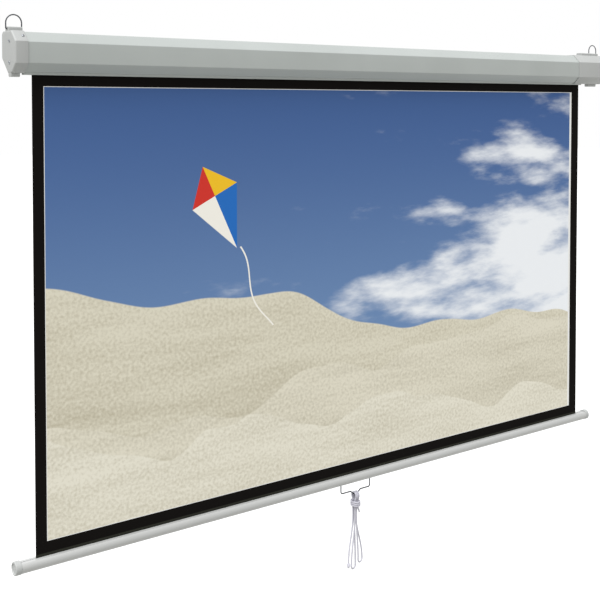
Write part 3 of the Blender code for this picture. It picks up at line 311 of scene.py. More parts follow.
# Case. One strip of 1 mm steel, roll-formed to an eight-sided C and powder coated light
# grey. Its two lips are hemmed round the slot that the sheet comes down through, and they
# are cut back at both ends, where the caps slide over the case.
CASE_HEIGHT = 0.090
CASE_DEPTH = 0.074
STEEL = 0.001
FRONT_TOP = 0.023
FRONT_LOW = 0.0198
BACK_TOP = 0.005
BACK_LOW = 0.032
CASE_BEND = 0.0016
LIP_BOTTOM = -0.051
HEM_GAP = 0.0005
HEM_RETURN = 0.003
FRONT_LIP = -0.0485
REAR_LIP = -0.0355
CUT_END = 1.1
CASE_ENDS = (-0.9955, 1.0485)
LIP_ENDS = (-0.9825, 0.9668)
CASE_CORNERS = np.array([
    (-CASE_DEPTH, -CASE_HEIGHT / 2 + FRONT_LOW),
    (-CASE_DEPTH, CASE_HEIGHT / 2 - FRONT_TOP),
    (-CASE_DEPTH + FRONT_TOP, CASE_HEIGHT / 2),
    (-BACK_TOP, CASE_HEIGHT / 2),
    (0, CASE_HEIGHT / 2 - BACK_TOP),
    (0, -CASE_HEIGHT / 2 + BACK_LOW),
    (-BACK_LOW, -CASE_HEIGHT / 2),
    (-CASE_DEPTH + FRONT_LOW, -CASE_HEIGHT / 2),
])


def wrapped(outline):
    """A closed outline with its last point repeated before it and its first after it."""
    return np.concatenate([outline[-1:], outline, outline[:1]])


def shifted(path, distance):
    """An open flat path moved to its left. An inner point goes along the mean of its two
    sides' normals, by the distance over the cosine of half the turn between them."""
    sides = unit(np.diff(path, axis=0))
    normals = np.stack([-sides[:, 1], sides[:, 0]], axis=1)
    before = np.concatenate([normals[:1], normals])
    after = np.concatenate([normals, normals[-1:]])
    middle = unit(before + after)
    return path + middle * distance / (middle * after).sum(axis=1, keepdims=True)


def rounded(path, radius, steps):
    """An open path with arcs for its inner corners. An arc's centre lies on the corner's
    bisector, at the radius over the sine of half the opening, and its points swing evenly
    from one side's touching point to the other's."""
    radius = np.broadcast_to(radius, len(path) - 2)[:, None]
    corner = path[1:-1]
    back = unit(path[:-2] - corner)
    ahead = unit(path[2:] - corner)
    half = np.arccos(np.clip((back * ahead).sum(axis=1, keepdims=True), -1, 1)) / 2
    centre = corner + unit(back + ahead) * radius / np.sin(half)
    first = corner + back * radius / np.tan(half) - centre
    last = corner + ahead * radius / np.tan(half) - centre
    sweep = (np.pi - 2 * half)[:, None]
    share = np.linspace(0, 1, steps + 1)[None, :, None]
    spoke = first[:, None] * np.sin((1 - share) * sweep) + last[:, None] * np.sin(share * sweep)
    arcs = (centre[:, None] + spoke / np.sin(sweep)).reshape(-1, path.shape[1])
    return np.concatenate([path[:1], arcs, path[-1:]])


def case_outline(grow, radius):
    """The case's eight-sided outline moved outwards by grow, its corners rounded."""
    grown = shifted(wrapped(CASE_CORNERS), grow)[1:-1]
    return rounded(wrapped(grown), radius, 5)[1:-1]


def skinned(name, outlines, stations, finish, body, sharp=35, order=(0, 1, 2)):
    """A closed solid of end views (y, z), each with as many points as the next, joined point
    to point along their stations in X, with the first and last filled. Order (1, 2, 0) takes
    end views (x, y) along stations in Z instead."""
    outlines = np.asarray(outlines, float)
    stations = np.asarray(stations, float)[:, None, None]
    x = np.broadcast_to(stations, (*outlines.shape[:2], 1))
    points = np.concatenate([x, outlines], axis=2)[..., list(order)]
    return new_piece(name, points, finish, body, sharp)


def worked(piece, others, operation="DIFFERENCE", sharp=35):
    """Cuts other solids out of a piece, or melts them into it, and keeps only the result."""
    for other in others:
        step = piece.modifiers.new(other.name, "BOOLEAN")
        step.operation = operation
        step.object = other
        step.solver = "EXACT"
    bpy.context.view_layer.update()
    graph = bpy.context.evaluated_depsgraph_get()
    mesh = bpy.data.meshes.new_from_object(piece.evaluated_get(graph))
    piece.modifiers.clear()
    piece.data = mesh
    mesh.name = piece.name
    mesh.shade_smooth()
    mesh.set_sharp_from_angle(angle=math.radians(sharp))
    for other in others:
        bpy.data.objects.remove(other, do_unlink=True)


def block(name, low, high, finish):
    """A box between two corners, as a cutter."""
    outline = [(low[1], low[2]), (high[1], low[2]), (high[1], high[2]), (low[1], high[2])]
    return skinned(name, [outline] * 2, (low[0], high[0]), finish, "case")


def peg(name, start, end, radius, finish):
    """A round bar between two points, as a cutter."""
    path = np.linspace(start, end, 3)
    reference = np.roll(unit(path[-1] - path[0]), 1) + (0.1, 0.2, 0.3)
    return tube(name, path, radius, finish, "case", reference, sides=24)


def hem(lip, towards):
    """The folded edge of a lip on the middle of the steel: a half circle round the gap, then
    the return that stands on the slot's side."""
    radius = (STEEL + HEM_GAP) / 2
    angle = np.linspace(0, np.pi, 11)
    foot = LIP_BOTTOM + STEEL / 2 + radius
    y = lip + towards * radius * (1 + np.cos(angle))
    arc = np.stack([y, foot - radius * np.sin(angle)], axis=1)
    return np.concatenate([[(lip + 2 * towards * radius, foot + HEM_RETURN)], arc])


def coated(name, low, high, grain, height, roughness, metallic=0.0):
    """A sprayed, moulded or oiled skin: two close tones drift over 150 mm, the grain lifts
    the surface by its height, and the gloss wanders a little with the tones."""
    made, tree, shader = surface(name, roughness, metallic)
    place = add(tree, "TexCoord")["Object"]
    drift = add(tree, "TexNoise", {"Vector": place, "Scale": 6.5, "Detail": 3.0})[0]
    tone = add(tree, "MapRange", {"Value": drift, "From Min": 0.3, "From Max": 0.7})[0]
    peel = add(tree, "TexNoise", {"Vector": place, "Scale": 1 / grain, "Detail": 2.0})[0]
    gloss = (roughness - 0.06, roughness + 0.06)
    dress(tree, shader, tone, (low, high), drift, gloss, peel, 0.35, height)
    return made


# Polyester powder coat, sprayed on and baked. It gives the eye a satin light grey with a
# faint orange peel, whose 1.5 mm ripples are drawn at 2.5 mm.
powder_coat = coated("powder_coated_steel", "A5AAA8", "AAAFAD", 0.0025, 0.00012, 0.42)

floor_middle = -CASE_HEIGHT / 2 + STEEL / 2
middle_corners = shifted(wrapped(CASE_CORNERS), -STEEL / 2)[1:-1]
front_hem = hem(FRONT_LIP, 1)
rear_hem = hem(REAR_LIP, -1)
case_bends = np.concatenate([
    front_hem[-1:],
    [(FRONT_LIP, floor_middle)],
    middle_corners[7:],
    middle_corners[:7],
    [(REAR_LIP, floor_middle)],
    rear_hem[-1:],
])
case_body = rounded(case_bends, CASE_BEND, 7)
case_middle = np.concatenate([front_hem[:-1], case_body, rear_hem[-2::-1]])
skins = (shifted(case_middle, STEEL / 2), shifted(case_middle, -STEEL / 2)[::-1])
case_section = np.concatenate(skins)
case_shell = skinned("case_steel", [case_section] * 2, CASE_ENDS, powder_coat, "case")
lip_front = FRONT_LIP - CASE_BEND - GAP
lip_back = REAR_LIP + CASE_BEND + GAP
lip_low = LIP_BOTTOM - STEEL
lip_high = -CASE_HEIGHT / 2 + 1.5 * STEEL
worked(case_shell, [
    block(name, (start, lip_front, lip_low), (end, lip_back, lip_high), powder_coat)
    for name, start, end in (
        ("left_lip_cut", -CUT_END, LIP_ENDS[0]),
        ("right_lip_cut", LIP_ENDS[1], CUT_END),
    )
])
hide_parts("case_shell")


# End caps. Two injection-moulded ABS caps slide over the case's ends and carry the hanger
# boss above and a stop boss below. The right one is long, with a second block on top, for
# it covers the spring's lock. Each is open behind, where the case lies on the wall.
LEFT_FACE = -1.0140
RIGHT_FACE = 1.0670
LEFT_WIDTH = 0.0305
RIGHT_WIDTH = 0.143
CAP_WALL = 0.002
CAP_END = 0.003
CAP_CROWN = 0.0036
CAP_ROUND = 0.0016
ROUND_LOSS = 0.3
HOLLOW_ROUND = 0.0008
SEAM_ROUND = 0.0004
BOSS_Y = -0.028
BOSS_HALF = 0.011
BOSS_TOP = 0.0563
BOSS_SPAN = (0.001, 0.033)
BLOCK_SPAN = (0.039, 0.0867)
BOSS_ROUND = 0.003
BOSS_EDGE = 0.001
STOP_HALF = 0.008
STOP_LOW = -0.0560
LEFT_STOP = (0.001, 0.022)
RIGHT_STOP = (0.024, 0.063)
REAR_CUT = (0.02, 0.08)
NOTCH_LOW = (0.9, -0.049)
NOTCH_ROOM = 0.0007
BAIL_WIRE = 0.0015
BAIL_Z = 0.05108
BAIL_HOLE = 0.0075
END_SCREW_Y = -0.042
END_SCREW_RISE = 0.024
SLOPE_SCREW_IN = 0.0228
SCREW_SHANK = 0.00175
SCREW_HEAD = 0.0022
SCREW_REACH = 0.0091


def end_x(side, inwards):
    """X at a distance inwards from the left (-1) or right (1) cap's outer face."""
    return LEFT_FACE + inwards if side < 0 else RIGHT_FACE - inwards


def cap_body(name, side, width):
    """The cap's block. Near the face its outline draws in as a quarter circle of the crown's
    radius, and at the seam by a small round."""
    face = np.linspace(0, np.pi / 2, 7)
    seam = face[::2]
    inset = np.concatenate([CAP_CROWN * (1 - np.sin(face)), SEAM_ROUND * (1 - np.cos(seam))])
    seam_depth = width - SEAM_ROUND * (1 - np.sin(seam))
    depth = np.concatenate([CAP_CROWN * (1 - np.cos(face)), seam_depth])
    outlines = [
        case_outline(GAP + CAP_WALL - draw, CAP_ROUND - ROUND_LOSS * draw) for draw in inset
    ]
    return skinned(name, outlines, end_x(side, depth), cap_plastic, "case", sharp=30)


def boss(name, side, span, middle, half, near, far):
    """A block on a cap, from a height near the cap's middle to a far one. Its end view is a
    rectangle with its far corners rounded, drawn in at both ends by a quarter round."""
    angle = np.linspace(0, np.pi / 2, 5)
    rise = BOSS_EDGE * (1 - np.sin(angle))
    along = BOSS_EDGE * (1 - np.cos(angle))
    depth = np.concatenate([span[0] + along, span[1] - along[::-1]])
    outlines = []
    for draw in np.concatenate([rise, rise[::-1]]):
        wide = half - draw
        top = far - math.copysign(draw, far)
        corners = np.array([(-wide, near), (-wide, top), (wide, top), (wide, near)])
        outlines.append(rounded(corners, BOSS_ROUND - draw / 2, 6) + (middle, 0))
    return skinned(name, outlines, end_x(side, depth), cap_plastic, "case", sharp=30)


# Moulded ABS in light grey. Its skin has the fine matt grain of a spark-eroded mould, which
# is 0.3 mm across and drawn at 0.9 mm.
cap_plastic = coated("moulded_abs", "A5A7A6", "AAACAB", 0.0009, 0.00008, 0.5)


def screw_seats(side):
    """Where a cap's screws sit and which way they point: two in its face, and on the left
    one more in the middle of the upper chamfer."""
    face = end_x(side, 0)
    seats = [
        (np.array((face, END_SCREW_Y, height)), np.array((-side, 0.0, 0.0)))
        for height in (END_SCREW_RISE, -END_SCREW_RISE)
    ]
    if side < 0:
        slope = shifted(wrapped(CASE_CORNERS), GAP + CAP_WALL)[2:4].mean(axis=0)
        seats.append((np.array((face + SLOPE_SCREW_IN, *slope)), unit(np.array((0.0, 1.0, -1.0)))))
    return seats


def screw_hole(name, seat, axis, finish):
    """A cutter for a screw's shank, from above its head to past its tip."""
    ends = (seat - axis * SCREW_HEAD, seat + axis * SCREW_REACH)
    return peg(name, *ends, SCREW_SHANK + GAP, finish)


def end_cap(name, side, width, bosses, stop):
    """A cap: its block with the bosses melted in, hollowed to the case's outline, cut open
    behind, drilled for the hanger's feet and the screws, and on the right notched below to
    clear the case's lips."""
    cap = cap_body(f"{name}_moulding", side, width)
    inside_top = CASE_HEIGHT / 2 + GAP + CAP_WALL / 4
    parts = [
        boss(f"{name}_boss_{place}", side, span, BOSS_Y, BOSS_HALF, inside_top, BOSS_TOP)
        for place, span in enumerate(bosses)
    ]
    parts.append(boss(f"{name}_stop", side, stop, SHEET_Y, STOP_HALF, -inside_top, STOP_LOW))
    worked(cap, parts, "UNION", sharp=30)
    hollow = [case_outline(GAP, HOLLOW_ROUND)] * 2
    stations = end_x(side, np.array([CAP_END, width + CAP_WALL]))
    low, high = sorted((end_x(side, -CAP_WALL), end_x(side, width + CAP_WALL)))
    rear, half = REAR_CUT
    tools = [
        skinned(f"{name}_hollow", hollow, stations, cap_plastic, "case"),
        block(f"{name}_behind", (low, -GAP, -half), (high, rear, half), cap_plastic),
    ]
    start, end = BOSS_SPAN
    for near, far in ((-CAP_WALL, start + BAIL_HOLE), (end - BAIL_HOLE, end + CAP_WALL)):
        spot = [(x, BOSS_Y, BAIL_Z) for x in sorted((end_x(side, near), end_x(side, far)))]
        tools.append(peg(f"{name}_foot_{len(tools)}", *spot, BAIL_WIRE + GAP, cap_plastic))
    if side > 0:
        low = (NOTCH_LOW[0], lip_front, NOTCH_LOW[1])
        high = (LIP_ENDS[1] + GAP + NOTCH_ROOM, lip_back, -CASE_HEIGHT / 2)
        tools.append(block(f"{name}_notch", low, high, cap_plastic))
    tools += [
        screw_hole(f"{name}_screw_{place}", seat, axis, cap_plastic)
        for place, (seat, axis) in enumerate(screw_seats(side))
    ]
    worked(cap, tools, sharp=30)
    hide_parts(name)


end_cap("left_cap", -1, LEFT_WIDTH, [BOSS_SPAN], LEFT_STOP)
end_cap("right_cap", 1, RIGHT_WIDTH, [BOSS_SPAN, BLOCK_SPAN], RIGHT_STOP)
worked(case_shell, [screw_hole("case_screw", *screw_seats(-1)[2], powder_coat)])


# Screws. Five M3.5 self-tapping pan heads of zinc-plated steel with a cross recess: two hold
# each cap to the bracket inside, and one more goes through the left cap's slope.
HEAD_RADIUS = 0.0035
HEAD_RIM = 0.3
DOME_START = 0.10
SCREW_SIDES = 24
SCREW_LENGTH = 0.0085
THREAD_TOP = -0.0004
THREAD_ROWS = 40
TIP_LENGTH = 0.002
TIP_SHARE = 0.12
THREAD_PITCH = 0.0013
THREAD_DEPTH = 0.0004
RECESS_REACH = 0.0019
RECESS_HALF = 0.00045
RECESS_DEPTH = 0.0013
RECESS_OVER = 0.001
RECESS_TAPER = 0.6

# Electroplated zinc, clear passivated. It gives a cool light metal with a soft, slightly
# cloudy gloss. The clouds are 12 mm across, and fine rolling lines are drawn at 0.8 mm.
zinc_plate, tree, shader = surface("zinc_plated_steel", 0.38, 1.0)
place = add(tree, "TexCoord")["Object"]
cloud = add(tree, "TexNoise", {"Vector": place, "Scale": 80.0, "Detail": 4.0})[0]
rolled = add(tree, "Mapping", {"Vector": place, "Scale": (60.0, 1200.0, 1200.0)})[0]
line = add(tree, "TexNoise", {"Vector": rolled, "Scale": 1.0, "Detail": 1.0})[0]
dress(tree, shader, cloud, ("7E8185", "A3A6AA"), cloud, (0.28, 0.50), line, 0.15, 0.00005)


def set_in(points, seat, axis):
    """Points (across, across, height) stood on the seat: the two directions across are any
    pair square to the axis, and height runs against it."""
    across = unit(np.cross(axis, np.roll(axis, 1) + (0.0, 0.3, 0.7)))
    return seat + points @ np.stack([across, np.cross(axis, across), -axis])


def pan_head_screw(name, seat, axis):
    """A screw turned about its axis. The head is a quarter ellipse over a straight rim. The
    shank's radius falls by a cosine of its height and turn together, which makes a thread,
    and its tip draws in. A cross is cut into the head."""
    angle = np.linspace(0, 2 * np.pi, SCREW_SIDES, endpoint=False)
    dome = np.linspace(DOME_START, 1, 8) * np.pi / 2
    rim = HEAD_RIM * SCREW_HEAD
    head = np.stack([HEAD_RADIUS * np.sin(dome), rim + (SCREW_HEAD - rim) * np.cos(dome)], axis=1)
    neck = [(HEAD_RADIUS, GAP), (SCREW_SHANK, GAP)]
    depth = np.linspace(THREAD_TOP, -SCREW_LENGTH, THREAD_ROWS)
    tip = np.clip((depth + SCREW_LENGTH) / TIP_LENGTH, TIP_SHARE, 1)
    shank = np.stack([SCREW_SHANK * tip, depth], axis=1)
    radius, height = np.concatenate([head, neck, shank]).T[:, :, None]
    cut = THREAD_DEPTH * (0.5 + 0.5 * np.cos(2 * np.pi * height / THREAD_PITCH + angle))
    radius = radius - np.where(height < 0, cut * np.clip(radius / SCREW_SHANK, 0, 1), 0)
    height = np.broadcast_to(height, radius.shape)
    points = np.stack([radius * np.cos(angle), radius * np.sin(angle), height], axis=-1)
    screw = new_piece(f"{name}_steel", set_in(points, seat, axis), zinc_plate, "case", sharp=40)
    far, near = RECESS_REACH, RECESS_HALF
    arm = np.array([(far, -near), (far, near), (near, near)])
    cross = np.concatenate([arm, arm[:, ::-1] * (-1, 1), -arm, arm[:, ::-1] * (1, -1)])
    foot = np.insert(RECESS_TAPER * cross, 2, SCREW_HEAD - RECESS_DEPTH, axis=1)
    mouth = np.insert(cross, 2, SCREW_HEAD + RECESS_OVER, axis=1)
    points = set_in(np.stack([foot, mouth]), seat, axis)
    bit = new_piece(f"{name}_bit", points, zinc_plate, "case")
    worked(screw, [bit], sharp=40)
    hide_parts(name)


for cap, side in (("left_cap", -1), ("right_cap", 1)):
    for place, (seat, axis) in zip(("upper", "lower", "front"), screw_seats(side)):
        pan_head_screw(f"{cap}_{place}_screw", seat, axis)


# Hanger bails. A 3 mm spring-steel wire stands up from each cap as an arch. Its two feet
# turn in holes of the boss, so that it swings out over a hook.
BAIL_RISE = 0.0325
BAIL_SIDE = 0.0006
BAIL_FOOT = 0.0085
BAIL_BEND = 0.003
WIRE_SIDES = 16

# Drawn spring wire with a dull zinc finish. It gives a mid grey with long fine lines along
# the wire, which are 0.1 mm apart and drawn at a twelfth of the way round.
drawn_wire, tree, shader = surface("drawn_spring_wire", 0.40, 1.0)
lay = add(tree, "UVMap", uv_map="lay")[0]
lines = add(tree, "Mapping", {"Vector": lay, "Scale": (12.0, 25.0, 1.0)})[0]
streak = add(tree, "TexNoise", {"Vector": lines, "Scale": 1.0, "Detail": 3.0})[0]
dress(tree, shader, streak, ("3A3C3F", "5C5E61"), streak, (0.30, 0.52), streak, 0.2, 0.00005)

for name, side, body in (("left_bail", -1, "left_hanger"), ("right_bail", 1, "right_hanger")):
    legs = end_x(side, np.array([-BAIL_SIDE - BAIL_WIRE, BOSS_SPAN[1] + BAIL_SIDE + BAIL_WIRE]))
    middle = legs.mean()
    half = abs(legs[1] - legs[0]) / 2
    spring = BAIL_Z + BAIL_RISE - half
    angle = np.linspace(0, np.pi, 33)
    arch = np.stack([middle - half * np.cos(angle), spring + half * np.sin(angle)], axis=1)
    foot = np.array([(middle - half + BAIL_FOOT, BAIL_Z), (middle - half, BAIL_Z), arch[0]])
    leg = rounded(foot, BAIL_BEND, 8)[:-1]
    flat = np.concatenate([leg, arch, (leg * (-1, 1) + (2 * middle, 0))[::-1]])
    path = np.insert(flat, 1, BOSS_Y, axis=1)
    bail = tube(f"{name}_wire", path, BAIL_WIRE, drawn_wire, body, (0, 1, 0), WIRE_SIDES)
    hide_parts(name)


# Roller and its bearings, inside the case. The zinc-plated tube turns on an idler pin in a
# nylon bush at the left. At the right it turns on a fixed spindle, round which the spring,
# its nylon hub and anchor, and the ratchet with its two pawls sit. These are the CAD solids.

# Moulded natural nylon. It gives a waxy off-white whose skin ripples faintly every 2 mm.
white_nylon = coated("natural_nylon", "DAD9D0", "E6E5DE", 0.0020, 0.00004, 0.45)
white_nylon.node_tree.nodes["Principled BSDF"].inputs["Subsurface Weight"].default_value = 0.05

# Hardened spring steel, oiled. It gives a dark, even metal with a tight satin grain, drawn
# at 0.5 mm.
oiled_steel = coated("oiled_spring_steel", "5A5C5F", "6E7073", 0.0005, 0.00002, 0.36, 1.0)

for finish, names in (
    (zinc_plate, (
        "left_bracket", "right_bracket", "idler_pin", "roller_tube", "spindle", "lock_washer",
        "spring_washer", "ratchet_wheel", "ratchet_cross_pin", "hub_cross_pin",
        "upper_pawl_pin", "lower_pawl_pin",
    )),
    (oiled_steel, ("upper_pawl", "lower_pawl", "lift_spring")),
    (white_nylon, (
        "idler_bush", "idler_plug", "drive_plug", "spring_hub", "spring_anchor", "hem_rod",
    )),
):
    for name in names:
        for slot in nodes[name].material_slots:
            slot.material = finish


# Screen cloth. Glass-fibre cloth, 0.4 mm thick with its matt white PVC, printed with a picture
# inside a black border. It comes off the roller, and its foot is welded round a rod in the
# bar's channel. The black band above the bar is a piece of its own, which rises with the bar.
SHEET_THICK = 0.0004
SHEET_HALF = 0.9618
SHEET_COLUMNS = 97
SHEET_LOW = -1.15755
BAND_TOP = -1.1230
WELD_TOP = -1.1490
PICTURE_X = (-0.9338, 0.9268)
PICTURE_Z = (-1.12225, -0.076)
BARE_EDGE = 0.0015
BARE_RIGHT = 0.009
SAND_HILLS = (
    (-0.10, -0.17, 0.16, 1.1, "BFB8A3", "DFDAC8"),
    (-0.25, 0.10, 0.14, 1.7, "C3BDAA", "E3DECD"),
    (-0.38, -0.08, 0.12, 2.3, "C8C2AF", "E9E5D6"),
)
HILL_APART = 40
SAND_GRAIN = 0.008
KITE_PLACE = (-0.47, 0.25)
KITE_LEAN = 0.45
KITE_HALF = 0.075
KITE_ENDS = (0.085, -0.155)
KITE_PANELS = (("F5F2EA", "2E6FC0"), ("D23B33", "F2C230"))
STRING_WAVE = 26.0
STRING_SWAY = 0.014
STRING_HALF = 0.0022
STRING_MIDDLE = -0.275
STRING_REACH = 0.12
RIPPLE = 0.0008
RIPPLE_SPAN = (-0.07, -1.13)
WAVES = ((0.6, 7.6, 0.0, 0.9), (0.4, 17.0, 2.7, 0.0))
THREAD = 0.0012
ROLLER_Y = -0.02345
WRAP_INNER = 0.01605
WRAP_TURNS = 1.4
WRAP_STEPS = 120
WRAP_PITCH = 0.00043


def woven(name, tone, roughness):
    """The cloth's coated weave: the product of two sines across the UV map, which lies flat
    on the cloth in metres, lifts the skin at each crossing. The threads' 0.5 mm is drawn at
    1.2 mm. Tone(tree, lay) gives colour."""
    made, tree, shader = surface(name, roughness)
    lay = add(tree, "UVMap", uv_map="lay")[0]
    threads = add(tree, "VectorMath", {0: lay, 1: (2 * math.pi / THREAD,) * 3}, operation="MULTIPLY")[0]
    wave = add(tree, "VectorMath", {0: threads}, operation="SINE")[0]
    parts = add(tree, "SeparateXYZ", {0: wave})
    crossing = add(tree, "Math", {0: parts["X"], 1: parts["Y"]}, operation="MULTIPLY")[0]
    relief = add(tree, "Bump", {"Strength": 0.25, "Distance": 0.00008, "Height": crossing})[0]
    fill(shader, {"Base Color": tone(tree, lay), "Normal": relief, "Specular IOR Level": 0.03})
    return made


def plain_cloth(tree, lay):
    """Coated white: two close whites drift over 200 mm."""
    drift = add(tree, "TexNoise", {"Vector": lay, "Scale": 5.0, "Detail": 3.0})[0]
    return add(tree, "Mix", {0: drift, 6: linear("ECECEA"), 7: linear("F3F3F2")}, data_type="RGBA")[2]


def printed_cloth(tree, lay):
    """The printed face. From the picture's middle, in metres, come a sky that deepens upwards with
    slanting cloud bands, three sand hills below wandering lines, and one kite. Past the picture's edge
    the cloth is black, with a hairline left bare between them, wider at the right. Below the weld's top,
    just above the bar, where the cloth lies double, the black is drawn a little lighter. The sand's grain
    is drawn as clumps of 8 mm."""
    middle = (np.mean(PICTURE_X) + SHEET_HALF, np.mean(PICTURE_Z) - SHEET_LOW, 0.0)
    half = (np.ptp(PICTURE_X) / 2, np.ptp(PICTURE_Z) / 2, 0.0)
    spot = add(tree, "VectorMath", {0: lay, 1: middle}, operation="SUBTRACT")[0]
    parts = add(tree, "SeparateXYZ", {0: spot})

    span = {"Value": parts["Y"], "From Min": -0.35, "From Max": 0.55}
    rise = add(tree, "MapRange", span, interpolation_type="SMOOTHSTEP")[0]
    picture = add(tree, "Mix", {0: rise, 6: linear("7492BC"), 7: linear("48659A")}, data_type="RGBA")[2]
    slant = {"Vector": spot, "Rotation": (0, 0, -0.42), "Scale": (1.3, 4.2, 1.0)}
    slanted = add(tree, "Mapping", slant)[0]
    vapour = add(tree, "TexNoise", {"Vector": slanted, "Scale": 1.6, "Detail": 7.0, "Roughness": 0.55})[0]
    gather = {0: spot, 1: (0.22, -0.30, 0.0)}
    thicker = add(tree, "VectorMath", gather, operation="DOT_PRODUCT")["Value"]
    density = add(tree, "Math", {0: vapour, 1: thicker}, operation="ADD")[0]
    span = {"Value": density, "From Min": 0.50, "From Max": 0.72}
    cloud = add(tree, "MapRange", span, interpolation_type="SMOOTHSTEP")[0]
    picture = add(tree, "Mix", {0: cloud, 6: picture, 7: linear("F2F5FA")}, data_type="RGBA")[2]

    grain = add(tree, "TexNoise", {"Vector": lay, "Scale": 1 / SAND_GRAIN, "Detail": 3.0})[0]
    for height, lean, swell, scale, dark, light in SAND_HILLS:
        along = add(tree, "Math", {0: parts["X"], 1: height * HILL_APART}, operation="ADD")[0]
        bumps = {"W": along, "Scale": scale, "Detail": 2.0}
        line = add(tree, "TexNoise", bumps, noise_dimensions="1D")[0]
        stretch = {0: line, 1: 2 * swell, 2: height - swell}
        crest = add(tree, "Math", stretch, operation="MULTIPLY_ADD")[0]
        tilt = {0: spot, 1: (lean, -1.0, 0.0)}
        under = add(tree, "VectorMath", tilt, operation="DOT_PRODUCT")["Value"]
        below = add(tree, "Math", {0: crest, 1: under}, operation="ADD")[0]
        sweep = {"Vector": spot, "Rotation": (0, 0, 4 * lean), "Scale": (1.2, 9.0, 1.0)}
        drift = add(tree, "Mapping", sweep)[0]
        ripples = add(tree, "TexNoise", {"Vector": drift, "Scale": 2.2, "Detail": 5.0})[0]
        soft = add(tree, "Math", {0: ripples, 1: 1.2, 2: -0.85}, operation="MULTIPLY_ADD")[0]
        lift = add(tree, "Math", {0: grain, 1: 2.1, 2: soft}, operation="MULTIPLY_ADD")[0]
        shade = add(tree, "Math", {0: below, 1: -0.9, 2: lift}, operation="MULTIPLY_ADD")[0]
        sand = add(tree, "Mix", {0: shade, 6: linear(dark), 7: linear(light)}, data_type="RGBA")[2]
        span = {"Value": below, "From Min": 0.0, "From Max": 0.004}
        edge = add(tree, "MapRange", span, interpolation_type="SMOOTHSTEP")[0]
        picture = add(tree, "Mix", {0: edge, 6: picture, 7: sand}, data_type="RGBA")[2]

    stand = {"Vector": spot, "Location": (*KITE_PLACE, 0.0), "Rotation": (0, 0, KITE_LEAN)}
    kite = add(tree, "Mapping", stand, vector_type="TEXTURE")[0]
    sides = add(tree, "SeparateXYZ", {0: kite})
    across, up = sides["X"], sides["Y"]
    wag = add(tree, "Math", {0: up, 1: STRING_WAVE}, operation="MULTIPLY")[0]
    wave = add(tree, "Math", {0: wag}, operation="SINE")[0]
    off = add(tree, "Math", {0: wave, 1: -STRING_SWAY, 2: across}, operation="MULTIPLY_ADD")[0]
    near = add(tree, "Math", {0: off, 1: 0.0, 2: STRING_HALF}, operation="COMPARE")[0]
    span = {0: up, 1: STRING_MIDDLE, 2: STRING_REACH}
    length = add(tree, "Math", span, operation="COMPARE")[0]
    string = add(tree, "Math", {0: near, 1: length}, operation="MULTIPLY")[0]
    picture = add(tree, "Mix", {0: string, 6: picture, 7: linear("F5F2EA")}, data_type="RGBA")[2]
    right, upper = [
        add(tree, "Math", {0: way, 1: 0.0}, operation="GREATER_THAN")[0] for way in (across, up)
    ]
    panels = [
        add(tree, "Mix", {0: right, 6: linear(left), 7: linear(other)}, data_type="RGBA")[2]
        for left, other in KITE_PANELS
    ]
    panel = add(tree, "Mix", {0: upper, 6: panels[0], 7: panels[1]}, data_type="RGBA")[2]
    wide = add(tree, "Math", {0: across}, operation="ABSOLUTE")[0]
    ends = [add(tree, "Math", {0: up, 1: 1 / end}, operation="MULTIPLY")[0] for end in KITE_ENDS]
    tall = add(tree, "Math", {0: ends[0], 1: ends[1]}, operation="MAXIMUM")[0]
    reach = add(tree, "Math", {0: wide, 1: 1 / KITE_HALF, 2: tall}, operation="MULTIPLY_ADD")[0]
    span = {"Value": reach, "From Min": 1.0, "From Max": 0.97}
    inside = add(tree, "MapRange", span, interpolation_type="SMOOTHSTEP")[0]
    picture = add(tree, "Mix", {0: inside, 6: picture, 7: panel}, data_type="RGBA")[2]

    for start, short, tint in ((BARE_EDGE, BARE_RIGHT, "EFEFED"), (0.0, 0.0, "141211")):
        moved = {0: spot, 1: ((short - start) / 2, 0.0, 0.0)}
        centred = add(tree, "VectorMath", moved, operation="ADD")[0]
        spread = add(tree, "VectorMath", {0: centred}, operation="ABSOLUTE")[0]
        reach = {0: spread, 1: (half[0] - (short + start) / 2, half[1] - start, 0.0)}
        past = add(tree, "VectorMath", reach, operation="SUBTRACT")[0]
        margins = add(tree, "SeparateXYZ", {0: past})
        distance = add(tree, "Math", {0: margins["X"], 1: margins["Y"]}, operation="MAXIMUM")[0]
        over = add(tree, "Math", {0: distance, 1: 0.0}, operation="GREATER_THAN")[0]
        picture = add(tree, "Mix", {0: over, 6: picture, 7: linear(tint)}, data_type="RGBA")[2]
    # Below the weld's top, just above the bar, the black is drawn a little lighter.
    weld = add(tree, "Math", {0: parts["Y"], 1: WELD_TOP - np.mean(PICTURE_Z)}, operation="LESS_THAN")[0]
    return add(tree, "Mix", {0: weld, 6: picture, 7: linear("2E2F29")}, data_type="RGBA")[2]


print_face = woven("printed_screen_cloth", printed_cloth, 0.85)
bare_cloth = woven("coated_glass_cloth", plain_cloth, 0.88)


